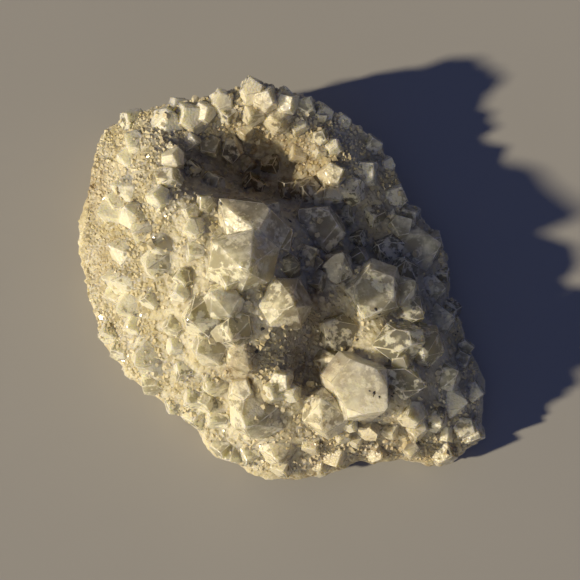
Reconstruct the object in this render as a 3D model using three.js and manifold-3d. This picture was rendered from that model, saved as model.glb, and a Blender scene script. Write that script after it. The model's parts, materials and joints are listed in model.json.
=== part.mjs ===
// Quartz cluster: milky quartz covered with grown-together crystals, broken off flat underneath.
// Millimetres, +Z up. +X points right and +Y away from someone who looks down on the piece.
// The origin is the middle of the flat underside. The whole piece grew as one, so it is one solid.

import * as THREE from 'three';
import { ConvexGeometry } from 'three/addons/geometries/ConvexGeometry.js';
import { mergeVertices } from 'three/addons/utils/BufferGeometryUtils.js';
import Module from 'manifold-3d';

const wasm = await Module();
wasm.setup();

// The widest outline seen from above, clockwise from the top, with the height of the edge there.
const outline = [
  [-10.5, 47.5, 26], [-6.5, 48.5, 27], [1, 46.5, 25], [7.5, 45.5, 20], [12.5, 42.5, 17],
  [20, 40, 13], [25.5, 35.5, 10], [30, 29, 8], [32.5, 21.5, 7], [37, 16, 6], [41.5, 12, 7],
  [43, 5, 7], [43.5, -4.5, 6], [47.5, -11, 6], [49, -17, 6], [51, -24, 6], [51.5, -33, 5],
  [51, -42, 5], [46, -45.5, 5], [40, -47, 5], [30, -46, 6], [20, -46, 7], [8.5, -49.5, 5],
  [-7.5, -49.5, 5], [-15, -45.5, 6], [-22.5, -38, 7], [-31, -31.5, 7], [-40.5, -23, 7],
  [-47.5, -11.5, 7], [-51, -1, 7], [-51.5, 12, 9], [-50, 25, 10], [-48.5, 34, 12],
  [-46, 39, 13], [-34, 43.5, 18], [-24, 44.5, 21], [-16.5, 45, 23],
];

// The shift that puts the middle of the whole piece over the origin.
const seat = { x: 0.1, y: 1.1 };

// Spots across the top surface: x, y and the height of the quartz under its crystals.
const reliefSpots = {
  leftSlope: [[-42, 28, 20], [-45, 11, 17], [-44, -6, 17], [-34, 30, 26], [-37, 15, 24],
    [-36, 1, 24], [-32, -14, 22]],
  leftRidge: [[-28, 32, 29], [-27, 19, 30], [-28, 7, 29], [-27, -5, 29]],
  topRidge: [[-20, 40, 28], [-11, 41, 31], [-1, 41, 30], [6, 39, 26], [13, 35, 22], [21, 32, 17]],
  hollow: [[-20, 33, 18], [-12, 33, 12], [-4, 31, 9], [3, 28, 11], [-10, 26, 12], [-18, 26, 18],
    [7, 23, 17], [-1, 22, 15]],
  rightShoulder: [[12, 28, 20], [17, 24, 20], [25, 22, 15], [29, 16, 12]],
  mound: [[-18, 15, 31], [-10, 13, 33], [-16, 4, 34], [-6, 4, 35], [1, 7, 31], [-11, -5, 34],
    [-19, -7, 32], [1, -8, 33], [-7, -15, 32], [-17, -18, 30]],
  pocket: [[17, 15, 13], [22, 11, 9], [26, 8, 11], [20, 7, 14]],
  rightFlank: [[32, 9, 14], [14, 2, 22], [22, -5, 23], [32, -5, 18], [37, -11, 15], [39, 4, 11]],
  valley: [[8, 15, 22], [9, 6, 22], [10, -6, 21], [11, -15, 20], [10, -24, 21]],
  lowerRight: [[20, -28, 27], [29, -19, 25], [35, -19, 21], [16, -35, 24], [28, -31, 26],
    [36, -34, 20], [42, -28, 15], [45, -36, 10], [26, -41, 15], [40, -41, 10]],
  lowerEdge: [[10, -41, 17], [1, -44, 13], [-6, -35, 24], [-13, -41, 13], [2, -34, 25], [-3, -26, 28]],
  lowerLeft: [[-22, -27, 21], [-30, -21, 18], [-16, -35, 16], [-38, -16, 14], [-26, -18, 25]],
};

const reliefSoftness = 5;       // how far one spot's height reaches
const slopeStep = 1.5;          // the surface's slope is measured this far to both sides
const topRings = 7;             // rings of facets across the top
const lumpHeight = 0.8;         // unevenness of the quartz under the crystals
const lumpReach = 0.03;         // unevenness of the side, as a share of its distance from the middle
const edgeClearance = 0.965;    // the surface with crystals ends this far out towards the outline

// The side under the edge, from the top down: share of the edge's height, share of the outline.
const sideRows = [
  { level: 0.72, reach: 0.995 },
  { level: 0.36, reach: 0.985 },
  { level: 0.1, reach: 0.955 },
  { level: 0, reach: 0.9 },
];

// Quartz: the tip faces stand at this angle to the long axis.
const tipFaceAngle = THREE.MathUtils.degToRad(51.8);
const headShare = 0.45;         // from a crystal's middle to its tip, as a share of its width
const rootShare = 0.75;         // from its middle down to its buried end
const smallFaceShare = 1.12;    // every other tip face stands further out, so it is smaller
const threeFacedWidth = 7;      // narrower crystals have only three tip faces
const unevenness = 0.16;        // spread between the faces of one crystal
const sixthTurn = 60;           // a crystal looks much the same again after this turn
const defaultRise = 0.18;       // height of a crystal's middle over the surface, in widths

// Crystals set by hand. A crystal leans towards the direction lean by the angle tilt, in degrees.
// lead is how much its upper tip face outgrows the others, and stretch is its length along lean.
const crystals = {
  lowerRight: [
    { x: 21.5, y: -30.5, width: 15, rise: 0.2, lean: -40, tilt: 42, lead: 0.45, stretch: 0.06 },
    { x: 25.5, y: -17.5, width: 9.5, rise: 0.22, lean: 190, tilt: 62, stretch: 0.2 },
    { x: 35, y: -19, width: 9, rise: 0.3, lean: -100, tilt: 24, stretch: 0.1 },
    { x: 29, y: -21.5, width: 4.6, rise: 0.6, lean: 60, tilt: 12 },
    { x: 31.5, y: -27, width: 9, rise: 0.2, lean: -15, tilt: 56, stretch: 0.2 },
    { x: 31.5, y: -34.5, width: 6.5, rise: 0.2, lean: 200, tilt: 20 },
    { x: 33.5, y: -38.5, width: 6.4, rise: 0.3, lean: -95, tilt: 40, stretch: 0.25 },
    { x: 38.5, y: -36, width: 7, lean: -50, tilt: 30 },
    { x: 42, y: -24.5, width: 8, lean: 20, tilt: 34 },
    { x: 44, y: -31, width: 8, lean: -10, tilt: 40, lead: 0.2 },
    { x: 10.5, y: -32.5, width: 11, rise: 0.32, lean: 120, tilt: 18, lead: 0.1 },
    { x: 15, y: -40, width: 4, rise: 0.3, lean: -120, tilt: 30 },
    { x: 18.5, y: -41, width: 4, rise: 0.3, lean: -80, tilt: 35 },
    { x: 17, y: -37, width: 3.8, rise: 0.5, lean: -60, tilt: 15 },
    { x: 22.5, y: -38.5, width: 4.8, rise: 0.3, lean: -90, tilt: 25 },
    { x: 27, y: -38.5, width: 4.8, rise: 0.3, lean: -70, tilt: 30 },
    { x: 32.5, y: -43.5, width: 4.6, rise: 0.3, lean: -90, tilt: 40 },
    { x: 46.5, y: -20, width: 5, lean: 20, tilt: 40 },
    { x: 47, y: -38, width: 6, lean: -30, tilt: 45 },
  ],
  valley: [
    { x: 12.5, y: -14, width: 10.5, rise: 0.1, lean: 150, tilt: 30, lead: 0.3 },
    { x: 12.5, y: -21.5, width: 8, rise: 0.02, lean: 30, tilt: 25 },
    { x: 14, y: 3, width: 8.5, lean: 60, tilt: 30, lead: 0.2 },
    { x: 8.5, y: -2, width: 6, rise: 0.05, lean: -60, tilt: 25 },
    { x: 7, y: 13.5, width: 10.5, rise: 0.05, lean: 140, tilt: 50, lead: 0.5 },
  ],
  rightFlank: [
    { x: 21.5, y: -7.5, width: 12.5, rise: 0.18, lean: -110, tilt: 44, lead: 0.45 },
    { x: 31, y: -3.5, width: 9.5, rise: 0.2, lean: 35, tilt: 40, stretch: 0.1 },
    { x: 33, y: -9.5, width: 8, lean: -30, tilt: 40, lead: 0.2 },
    { x: 36.5, y: 8, width: 12, rise: 0.1, lean: 10, tilt: 42, lead: 0.3 },
    { x: 39.5, y: -2.5, width: 7, lean: 0, tilt: 40 },
    { x: 41, y: -10.5, width: 8.5, lean: 10, tilt: 42 },
    { x: 31.5, y: 14, width: 6.5, lean: 30, tilt: 40 },
  ],
  upperRight: [
    { x: 18, y: 21, width: 6.6, rise: 0.35, lean: -60, tilt: 12 },
    { x: 14, y: 25.5, width: 6, rise: 0.3, lean: 20, tilt: 35 },
    { x: 6, y: 21.5, width: 7.5, rise: 0.3, lean: 160, tilt: 15 },
    { x: 12, y: 20.5, width: 6.5, lean: -140, tilt: 35, lead: 0.3 },
    { x: 10, y: 35, width: 4, rise: 0.3, lean: 60, tilt: 15 },
    { x: 13.5, y: 32, width: 4, rise: 0.3, lean: -30, tilt: 20 },
    { x: 9.5, y: 31, width: 4, rise: 0.2, lean: -120, tilt: 20 },
    { x: 22, y: 27, width: 6.5, lean: 40, tilt: 35 },
  ],
  pocket: [
    { x: 16, y: 15.5, width: 6, rise: 0.1, lean: -40, tilt: 20 },
    { x: 23.5, y: 16, width: 6.2, rise: 0.1, lean: -100, tilt: 20 },
    { x: 19.5, y: 10, width: 5.5, rise: 0.1, lean: 60, tilt: 15 },
    { x: 26, y: 7.5, width: 8.8, rise: 0.1, lean: 160, tilt: 25, lead: 0.2 },
    { x: 25, y: 2, width: 5, rise: 0.3, lean: 80, tilt: 25 },
  ],
  topRidge: [
    { x: -7, y: 45.5, width: 5.5, rise: 0.3, lean: 100, tilt: 40, stretch: -0.15 },
    { x: -3.5, y: 43, width: 6, rise: 0.3, lean: 60, tilt: 20 },
    { x: 2, y: 42, width: 5.5, rise: 0.3, lean: 30, tilt: 25 },
    { x: 6.5, y: 42.5, width: 5.2, lean: 60, tilt: 40 },
    { x: -0.5, y: 37.5, width: 7, rise: 0.3, lean: -80, tilt: 22 },
    { x: -7, y: 39, width: 6, rise: 0.25, lean: -120, tilt: 20 },
    { x: -9, y: 36, width: 5.2, rise: 0.2, lean: -90, tilt: 40 },
    { x: -13, y: 39, width: 5, rise: 0.25, lean: -90, tilt: 25 },
    { x: -14.5, y: 43, width: 5.6, rise: 0.2, lean: 110, tilt: 25 },
    { x: -18.5, y: 40, width: 5.4, rise: 0.3, lean: 20, tilt: 15 },
    { x: -23, y: 39.5, width: 6.8, rise: 0.25, lean: 130, tilt: 22 },
  ],
  hollow: [
    { x: -12.5, y: 31, width: 6.5, rise: 0.3, lean: -85, tilt: 66, stretch: 0.2 },
    { x: -17.5, y: 32, width: 6, rise: 0.2, lean: -60, tilt: 45 },
    { x: -2.5, y: 29, width: 5.5, lean: -60, tilt: 15 },
    { x: -7.5, y: 24, width: 6.2, rise: 0.2, lean: 100, tilt: 20 },
    { x: -16.5, y: 23.5, width: 6, rise: 0.2, lean: 20, tilt: 30 },
    { x: 1.5, y: 22.5, width: 6, rise: 0.2, lean: 140, tilt: 25 },
    { x: 4, y: 31, width: 5.5, lean: -140, tilt: 30 },
  ],
  hollowLeftEdge: [
    { x: -26.5, y: 28, width: 5.6, rise: 0.35, lean: 60, tilt: 10 },
    { x: -26.5, y: 22.5, width: 5.6, rise: 0.3, lean: -30, tilt: 12 },
    { x: -22, y: 26, width: 5, rise: 0.3, lean: 0, tilt: 25 },
    { x: -30, y: 18, width: 5.6, rise: 0.25, lean: 180, tilt: 20 },
  ],
  mound: [
    { x: -10.5, y: 12.5, width: 14, rise: 0.08, lean: 138, tilt: 60, roll: 30, stretch: 0.15 },
    { x: -8.5, y: 0.5, width: 16, rise: 0.24, lean: -70, tilt: 22, stretch: -0.14 },
    { x: -12, y: -3.5, width: 6.2, rise: 0.6, lean: -110, tilt: 35 },
    { x: -18.5, y: 16.5, width: 4.4, rise: 0.6, lean: 140, tilt: 30 },
    { x: -21.5, y: 9.5, width: 5, rise: 0.4, lean: 200, tilt: 38, stretch: -0.2 },
    { x: -22, y: 14, width: 4.4, rise: 0.3, lean: 160, tilt: 30 },
    { x: -24, y: -2, width: 4.4, rise: 0.5, lean: 190, tilt: 30 },
    { x: -24.5, y: -5.5, width: 5, rise: 0.3, lean: 200, tilt: 20 },
    { x: -14.5, y: -7, width: 9, rise: 0.3, lean: 150, tilt: 26 },
    { x: -20, y: -11.5, width: 9.4, rise: 0.26, lean: 200, tilt: 30 },
    { x: -11, y: -15.5, width: 8, rise: 0.25, lean: -110, tilt: 28, stretch: 0.15 },
    { x: 1.5, y: -8.5, width: 12, rise: 0.26, lean: -30, tilt: 16, lead: 0.15 },
    { x: -8.5, y: -22, width: 7.5, rise: 0.2, lean: -60, tilt: 30 },
    { x: -18, y: -19, width: 9, rise: 0.2, lean: 210, tilt: 30, lead: 0.2 },
    { x: 1, y: 8.5, width: 7.5, rise: 0.1, lean: 30, tilt: 45, lead: 0.3 },
    { x: 2.5, y: 1, width: 7, rise: 0.1, lean: 0, tilt: 35 },
  ],
  lowerEdge: [
    { x: 0.5, y: -26, width: 5.4, rise: 0.4, lean: 40, tilt: 20 },
    { x: 2.5, y: -29.5, width: 5, rise: 0.35, lean: -60, tilt: 20 },
    { x: -2, y: -28.5, width: 5, rise: 0.35, lean: 160, tilt: 20 },
    { x: -7, y: -35, width: 12.5, rise: 0.2, lean: -120, tilt: 26, lead: 0.15, stretch: -0.08 },
    { x: -9, y: -27.5, width: 6.4, rise: 0.05, lean: 60, tilt: 30 },
    { x: -0.5, y: -43.5, width: 9, rise: 0.12, lean: -90, tilt: 32, lead: 0.2 },
    { x: -8, y: -44.5, width: 6.4, rise: 0.12, lean: -110, tilt: 36 },
    { x: -16.5, y: -35, width: 6.8, rise: 0.15, lean: 230, tilt: 34 },
    { x: 8, y: -42, width: 5.5, rise: 0.12, lean: -60, tilt: 30 },
  ],
  lowerLeft: [
    { x: -22, y: -30.5, width: 6.4, lean: 220, tilt: 36 },
    { x: -16.5, y: -27, width: 7.6, lean: 240, tilt: 34, lead: 0.3 },
    { x: -33.5, y: -20.5, width: 10.5, rise: 0.14, lean: 215, tilt: 36, lead: 0.3, stretch: -0.1 },
    { x: -26, y: -18, width: 4.8, rise: 0.2, lean: 230, tilt: 20 },
    { x: -24, y: -24, width: 5.8, rise: 0.1, lean: 240, tilt: 30 },
    { x: -37, y: -12.5, width: 5.4, lean: 200, tilt: 30 },
    { x: -32, y: -6.5, width: 5.4, lean: 190, tilt: 25 },
    { x: -26.5, y: -13, width: 5.4, rise: 0.2, lean: 200, tilt: 25 },
  ],
};

// The crystals between those, scattered by rule.
const scatterSpacing = 7.2;        // one crystal to a square of this size
const scatterCells = 8;            // squares to each side of the middle
const scatterWidth = [5.6, 3.4];   // least width, and the most that is added to it
const scatterTilt = 24;            // the most that one leans away from the surface's own direction
const scatterRise = [-0.06, 0.2];  // least rise, and the most that is added to it
const crowding = 0.34;             // two crystals' middles are this share of their widths apart

// The row of small crystals along the edge. They lean outwards.
const edgeCount = 34;
const edgeWidth = [4.2, 2.8];
const edgeTilt = [20, 26];         // least tilt from upright, and the most that is added to it
const edgeSwing = 40;              // spread of their directions, in degrees
const edgeRise = 0.02;
const edgeInset = 0.42;            // from the outline to a crystal's middle, in widths
const edgeScatter = 0.7;           // unevenness of their spacing, as a share of it
const smoothEdge = { from: 138, to: 194 };   // the broken left edge, in degrees, has none

const quartz = new THREE.MeshStandardMaterial({ color: 0xcfc6ac, roughness: 0.35, metalness: 0 });

// A repeatable number from 0 to 1 for two whole numbers.
function chance(first, second) {
  let mixed = Math.imul(first + 101, 0x9e3779b1) ^ Math.imul(second + 57, 0x85ebca77);
  mixed = Math.imul(mixed ^ (mixed >>> 15), 0x2c1b3c6d);
  mixed = Math.imul(mixed ^ (mixed >>> 12), 0x297a2d39);
  return ((mixed ^ (mixed >>> 15)) >>> 0) / 4294967296;
}

const outlineAngles = outline.map(([x, y]) => Math.atan2(y, x));

// The outline's distance from the middle in one direction, clockwise between its corner points.
function outlineReach(angle) {
  const turn = 2 * Math.PI;
  for (let i = 0; i < outline.length; i += 1) {
    const next = (i + 1) % outline.length;
    const span = (outlineAngles[i] - outlineAngles[next] + turn) % turn;
    const along = (outlineAngles[i] - angle + 2 * turn) % turn;
    if (along <= span) {
      const share = along / span;
      const from = Math.hypot(outline[i][0], outline[i][1]);
      const to = Math.hypot(outline[next][0], outline[next][1]);
      return from + (to - from) * share;
    }
  }
  return Math.hypot(outline[0][0], outline[0][1]);
}

const heightSpots = [...outline, ...Object.values(reliefSpots).flat()];

// The height of the quartz under the crystals.
function relief(x, y) {
  let height = 0;
  let weights = 0;
  for (const [spotX, spotY, spotHeight] of heightSpots) {
    const distance = Math.hypot(x - spotX, y - spotY) / reliefSoftness;
    const weight = Math.exp(-0.5 * distance * distance);
    height += weight * spotHeight;
    weights += weight;
  }
  return height / weights;
}

// The direction that the surface faces.
function surfaceDirection(x, y) {
  const slopeX = (relief(x + slopeStep, y) - relief(x - slopeStep, y)) / (2 * slopeStep);
  const slopeY = (relief(x, y + slopeStep) - relief(x, y - slopeStep)) / (2 * slopeStep);
  return new THREE.Vector3(-slopeX, -slopeY, 1).normalize();
}

function toSolid(geometry) {
  const bare = geometry.clone();
  bare.deleteAttribute('normal');
  bare.deleteAttribute('uv');
  const merged = mergeVertices(bare, 1e-4);
  return new wasm.Manifold(new wasm.Mesh({
    numProp: 3,
    vertProperties: new Float32Array(merged.attributes.position.array),
    triVerts: new Uint32Array(merged.index.array),
  }));
}

function toGeometry(solid) {
  const mesh = solid.getMesh();
  const geometry = new THREE.BufferGeometry();
  geometry.setAttribute('position', new THREE.BufferAttribute(mesh.vertProperties, 3));
  geometry.setIndex(new THREE.BufferAttribute(mesh.triVerts, 1));
  geometry.computeVertexNormals();
  return geometry;
}

// The quartz under the crystals: a top of even rings, an uneven side and a flat underside.
function makeGround() {
  const points = [];
  const faces = [];
  const rimSteps = 6 * topRings;
  points.push(0, 0, relief(0, 0));
  for (let ring = 1; ring <= topRings; ring += 1) {
    for (let step = 0; step < 6 * ring; step += 1) {
      const angle = 2 * Math.PI * step / (6 * ring);
      const reach = outlineReach(angle) * edgeClearance * ring / topRings;
      const x = Math.cos(angle) * reach;
      const y = Math.sin(angle) * reach;
      const lump = lumpHeight * (2 * chance(ring, step) - 1);
      points.push(x, y, relief(x, y) + lump);
    }
  }
  const ringStart = (ring) => (ring === 0 ? 0 : 1 + 3 * ring * (ring - 1));
  const ringPoint = (ring, step) => ringStart(ring) + (ring === 0 ? 0 : step % (6 * ring));
  for (let ring = 0; ring < topRings; ring += 1) {
    for (let sector = 0; sector < 6; sector += 1) {
      for (let step = 0; step <= ring; step += 1) {
        const inner = sector * ring + step;
        const outer = sector * (ring + 1) + step;
        faces.push(ringPoint(ring, inner), ringPoint(ring + 1, outer), ringPoint(ring + 1, outer + 1));
        if (step < ring) {
          faces.push(ringPoint(ring, inner), ringPoint(ring + 1, outer + 1), ringPoint(ring, inner + 1));
        }
      }
    }
  }
  let above = ringStart(topRings);
  sideRows.forEach(({ level, reach }, row) => {
    const start = points.length / 3;
    for (let step = 0; step < rimSteps; step += 1) {
      const angle = 2 * Math.PI * step / rimSteps;
      const bump = lumpReach * (2 * chance(row + 40, step) - 1);
      const distance = outlineReach(angle) * (reach + bump);
      const edgeX = Math.cos(angle) * outlineReach(angle);
      const edgeY = Math.sin(angle) * outlineReach(angle);
      points.push(Math.cos(angle) * distance, Math.sin(angle) * distance, level * relief(edgeX, edgeY));
    }
    for (let step = 0; step < rimSteps; step += 1) {
      const next = (step + 1) % rimSteps;
      faces.push(above + step, start + step, start + next);
      faces.push(above + step, start + next, above + next);
    }
    above = start;
  });
  const middle = points.length / 3;
  points.push(0, 0, 0);
  for (let step = 0; step < rimSteps; step += 1) {
    faces.push(middle, above + (step + 1) % rimSteps, above + step);
  }
  const ground = new THREE.BufferGeometry();
  ground.setAttribute('position', new THREE.Float32BufferAttribute(points, 3));
  ground.setIndex(faces);
  return toSolid(ground);
}

// The corners where three of a crystal's faces meet.
function cornersOf(planes) {
  const corners = [];
  const tolerance = 1e-6;
  for (let a = 0; a < planes.length; a += 1) {
    for (let b = a + 1; b < planes.length; b += 1) {
      for (let c = b + 1; c < planes.length; c += 1) {
        const cross = planes[b].normal.clone().cross(planes[c].normal);
        const volume = planes[a].normal.dot(cross);
        if (Math.abs(volume) < tolerance) continue;
        const corner = cross.multiplyScalar(planes[a].distance)
          .add(planes[c].normal.clone().cross(planes[a].normal).multiplyScalar(planes[b].distance))
          .add(planes[a].normal.clone().cross(planes[b].normal).multiplyScalar(planes[c].distance))
          .divideScalar(volume);
        if (planes.every(({ normal, distance }) => normal.dot(corner) <= distance + tolerance)) {
          corners.push(corner);
        }
      }
    }
  }
  return corners;
}

// One crystal about its own middle, long axis up: six sides, six tip faces and a buried end.
function crystalPlanes({ width, lead = 0, stretch = 0, roll = 0 }, seed) {
  const planes = [{ normal: new THREE.Vector3(0, 0, -1), distance: rootShare * width }];
  for (let side = 0; side < 6; side += 1) {
    const angle = Math.PI + side * Math.PI / 3;
    const turned = angle + THREE.MathUtils.degToRad(roll);
    const uneven = 1 + unevenness * (chance(seed, side) - 0.5);
    const shape = 1 + stretch * Math.cos(2 * angle);
    planes.push({
      normal: new THREE.Vector3(Math.cos(turned), Math.sin(turned), 0),
      distance: 0.5 * width * uneven * shape,
    });
    if (side % 2 === 1 && width < threeFacedWidth) continue;
    const small = side % 2 === 1 ? smallFaceShare : 1;
    const grown = side === 0 ? 1 - lead : 1;
    const unevenTip = 1 + unevenness * (chance(seed, side + 6) - 0.5);
    planes.push({
      normal: new THREE.Vector3(
        Math.cos(turned) * Math.sin(tipFaceAngle),
        Math.sin(turned) * Math.sin(tipFaceAngle),
        Math.cos(tipFaceAngle),
      ),
      distance: headShare * width * Math.cos(tipFaceAngle) * small * grown * unevenTip,
    });
  }
  return planes;
}

// A crystal in its place: its lean is a compass direction and its tilt is measured from upright.
function placeCrystal(crystal, seed) {
  const { x, y, width, rise = defaultRise, lean, tilt } = crystal;
  const turn = new THREE.Matrix4().makeRotationZ(THREE.MathUtils.degToRad(lean))
    .multiply(new THREE.Matrix4().makeRotationY(THREE.MathUtils.degToRad(tilt)));
  const place = new THREE.Matrix4().makeTranslation(x, y, relief(x, y) + rise * width).multiply(turn);
  const corners = cornersOf(crystalPlanes(crystal, seed));
  return toSolid(new ConvexGeometry(corners.map((corner) => corner.applyMatrix4(place))));
}

// The lean and tilt of a crystal that stands along a direction but is pushed a little aside.
function leaningAlong(direction, away) {
  const swing = THREE.MathUtils.degToRad(away.lean);
  const push = Math.tan(THREE.MathUtils.degToRad(away.tilt));
  const pushed = new THREE.Vector3(
    direction.x + Math.cos(swing) * push,
    direction.y + Math.sin(swing) * push,
    direction.z,
  ).normalize();
  return {
    lean: THREE.MathUtils.radToDeg(Math.atan2(pushed.y, pushed.x)),
    tilt: THREE.MathUtils.radToDeg(Math.acos(pushed.z)),
  };
}

function clearOf(others, x, y, width) {
  return others.every((other) => (
    Math.hypot(other.x - x, other.y - y) > crowding * (other.width + width)
  ));
}

function scatterCrystals(placed) {
  const scattered = [];
  for (let column = -scatterCells; column <= scatterCells; column += 1) {
    for (let row = -scatterCells; row <= scatterCells; row += 1) {
      const seed = 1000 + column * 40 + row;
      const x = (column + chance(seed, 1) - 0.5) * scatterSpacing;
      const y = (row + chance(seed, 2) - 0.5) * scatterSpacing;
      const width = scatterWidth[0] + scatterWidth[1] * chance(seed, 3);
      const inside = Math.hypot(x, y) < outlineReach(Math.atan2(y, x)) * edgeClearance - 0.5 * width;
      if (inside && clearOf(placed, x, y, width)) {
        const away = { lean: 360 * chance(seed, 4), tilt: scatterTilt * chance(seed, 5) };
        const own = leaningAlong(surfaceDirection(x, y), away);
        const rise = scatterRise[0] + scatterRise[1] * chance(seed, 6);
        scattered.push({ x, y, width, rise, roll: sixthTurn * chance(seed, 7), ...own, seed });
      }
    }
  }
  return scattered;
}

function edgeCrystals() {
  const edge = [];
  for (let step = 0; step < edgeCount; step += 1) {
    const seed = 5000 + step;
    const degrees = (step + edgeScatter * chance(seed, 1)) * 360 / edgeCount;
    const angle = THREE.MathUtils.degToRad(degrees);
    const width = edgeWidth[0] + edgeWidth[1] * chance(seed, 2);
    const reach = outlineReach(angle) - edgeInset * width;
    const x = Math.cos(angle) * reach;
    const y = Math.sin(angle) * reach;
    if (degrees < smoothEdge.from || degrees > smoothEdge.to) {
      const tilt = edgeTilt[0] + edgeTilt[1] * chance(seed, 3);
      const lean = degrees + edgeSwing * (chance(seed, 4) - 0.5);
      edge.push({ x, y, width, rise: edgeRise, roll: sixthTurn * chance(seed, 5), lean, tilt, seed });
    }
  }
  return edge;
}

// Everything grown together in one solid.
function makeCluster() {
  const byHand = Object.values(crystals).flat().map((crystal, index) => ({ ...crystal, seed: index }));
  const all = [...byHand, ...scatterCrystals(byHand), ...edgeCrystals()];
  let solid = makeGround();
  for (const crystal of all) {
    solid = solid.add(placeCrystal(crystal, crystal.seed));
  }
  const cluster = new THREE.Mesh(toGeometry(solid), quartz);
  cluster.name = 'quartz_cluster';
  cluster.position.set(seat.x, seat.y, 0);
  return cluster;
}

const part = new THREE.Group();
part.add(makeCluster());

export default part;
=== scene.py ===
"""Looks of a quartz cluster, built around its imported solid.

Places and sizes in the lists are millimetres, as in the part's own source, and
finished meshes are metres. The cluster lies on its flat underside at z = 0.
"""

import json
import math

import bmesh
import bpy
import numpy as np
from bpy.props import FloatProperty, FloatVectorProperty, IntProperty, PointerProperty
from mathutils import Matrix, Vector, noise
from mathutils.bvhtree import BVHTree

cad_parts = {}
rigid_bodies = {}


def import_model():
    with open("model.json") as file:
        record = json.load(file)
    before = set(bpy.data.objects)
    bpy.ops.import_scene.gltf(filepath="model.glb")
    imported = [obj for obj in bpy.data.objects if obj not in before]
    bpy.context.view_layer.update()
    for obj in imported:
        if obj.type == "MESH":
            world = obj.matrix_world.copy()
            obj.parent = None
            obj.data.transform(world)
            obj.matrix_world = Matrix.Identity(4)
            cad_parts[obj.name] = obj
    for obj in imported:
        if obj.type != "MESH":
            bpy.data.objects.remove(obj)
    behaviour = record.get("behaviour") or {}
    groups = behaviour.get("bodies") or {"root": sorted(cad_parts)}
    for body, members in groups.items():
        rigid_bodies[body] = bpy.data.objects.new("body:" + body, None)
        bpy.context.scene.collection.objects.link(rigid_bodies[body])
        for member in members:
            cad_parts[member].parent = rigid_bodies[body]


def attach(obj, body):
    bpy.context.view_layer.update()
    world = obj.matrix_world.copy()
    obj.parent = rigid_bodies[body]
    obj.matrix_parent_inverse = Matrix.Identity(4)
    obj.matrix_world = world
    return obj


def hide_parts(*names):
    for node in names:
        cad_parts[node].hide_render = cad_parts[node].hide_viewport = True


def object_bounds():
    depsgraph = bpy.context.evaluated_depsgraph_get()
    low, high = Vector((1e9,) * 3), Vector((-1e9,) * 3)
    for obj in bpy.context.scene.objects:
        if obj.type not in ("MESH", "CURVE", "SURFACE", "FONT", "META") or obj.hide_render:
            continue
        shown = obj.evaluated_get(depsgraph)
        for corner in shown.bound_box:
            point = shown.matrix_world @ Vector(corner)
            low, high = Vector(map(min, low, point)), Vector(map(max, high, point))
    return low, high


bl_info = {
    "name": "Quartz cluster",
    "version": (1, 0, 0),
    "blender": (4, 5, 0),
    "location": "3D View > Sidebar > Quartz",
    "description": "Builds grown-together quartz crystals on the quartz they grew from",
    "category": "Object",
}

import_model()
CAD_BOX = [list(corner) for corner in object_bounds()]

MM = 0.001
BOX_CLEARANCE = 0.02  # how far every piece stays inside the part's box

# The widest outline seen from above, clockwise from the top, with the height of the edge there.
OUTLINE = [
    (-10.5, 47.5, 26), (-6.5, 48.5, 27), (1, 46.5, 25), (7.5, 45.5, 20), (12.5, 42.5, 17),
    (20, 40, 13), (25.5, 35.5, 10), (30, 29, 8), (32.5, 21.5, 7), (37, 16, 6), (41.5, 12, 7),
    (43, 5, 7), (43.5, -4.5, 6), (47.5, -11, 6), (49, -17, 6), (51, -24, 6), (51.5, -33, 5),
    (51, -42, 5), (46, -45.5, 5), (40, -47, 5), (30, -46, 6), (20, -46, 7), (8.5, -49.5, 5),
    (-7.5, -49.5, 5), (-15, -45.5, 6), (-22.5, -38, 7), (-31, -31.5, 7), (-40.5, -23, 7),
    (-47.5, -11.5, 7), (-51, -1, 7), (-51.5, 12, 9), (-50, 25, 10), (-48.5, 34, 12),
    (-46, 39, 13), (-34, 43.5, 18), (-24, 44.5, 21), (-16.5, 45, 23),
]
SEAT = (0.1, 1.1, 0)  # puts the middle of the whole piece over the origin

# Spots across the top surface: x, y and the height of the quartz under its crystals.
RELIEF_SPOTS = {
    "left slope": [
        (-42, 28, 20), (-45, 11, 17), (-44, -6, 17), (-34, 30, 26), (-37, 15, 24),
        (-36, 1, 24), (-32, -14, 22)],
    "left ridge": [(-28, 32, 29), (-27, 19, 30), (-28, 7, 29), (-27, -5, 29)],
    "top ridge": [
        (-20, 40, 28), (-11, 41, 31), (-1, 41, 30), (6, 39, 26), (13, 35, 22), (21, 32, 17)],
    "hollow": [
        (-20, 33, 18), (-12, 33, 12), (-4, 31, 9), (3, 28, 11), (-10, 26, 12), (-18, 26, 18),
        (7, 23, 17), (-1, 22, 15)],
    "right shoulder": [(12, 28, 20), (17, 24, 20), (25, 22, 15), (29, 16, 12)],
    "mound": [
        (-18, 15, 31), (-10, 13, 33), (-16, 4, 34), (-6, 4, 35), (1, 7, 31), (-11, -5, 34),
        (-19, -7, 32), (1, -8, 33), (-7, -15, 32), (-17, -18, 30)],
    "pocket": [(17, 15, 13), (22, 11, 9), (26, 8, 11), (20, 7, 14)],
    "right flank": [
        (32, 9, 14), (14, 2, 22), (22, -5, 23), (32, -5, 18), (37, -11, 15), (39, 4, 11)],
    "valley": [(8, 15, 22), (9, 6, 22), (10, -6, 21), (11, -15, 20), (10, -24, 21)],
    "lower right": [
        (20, -28, 27), (29, -19, 25), (35, -19, 21), (16, -35, 24), (28, -31, 26),
        (36, -34, 20), (42, -28, 15), (45, -36, 10), (26, -41, 15), (40, -41, 10)],
    "lower edge": [
        (10, -41, 17), (1, -44, 13), (-6, -35, 24), (-13, -41, 13), (2, -34, 25), (-3, -26, 28)],
    "lower left": [(-22, -27, 21), (-30, -21, 18), (-16, -35, 16), (-38, -16, 14), (-26, -18, 25)],
}
RELIEF_SOFTNESS = 5
SLOPE_STEP = 1.5
EDGE_CLEARANCE = 0.965

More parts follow.
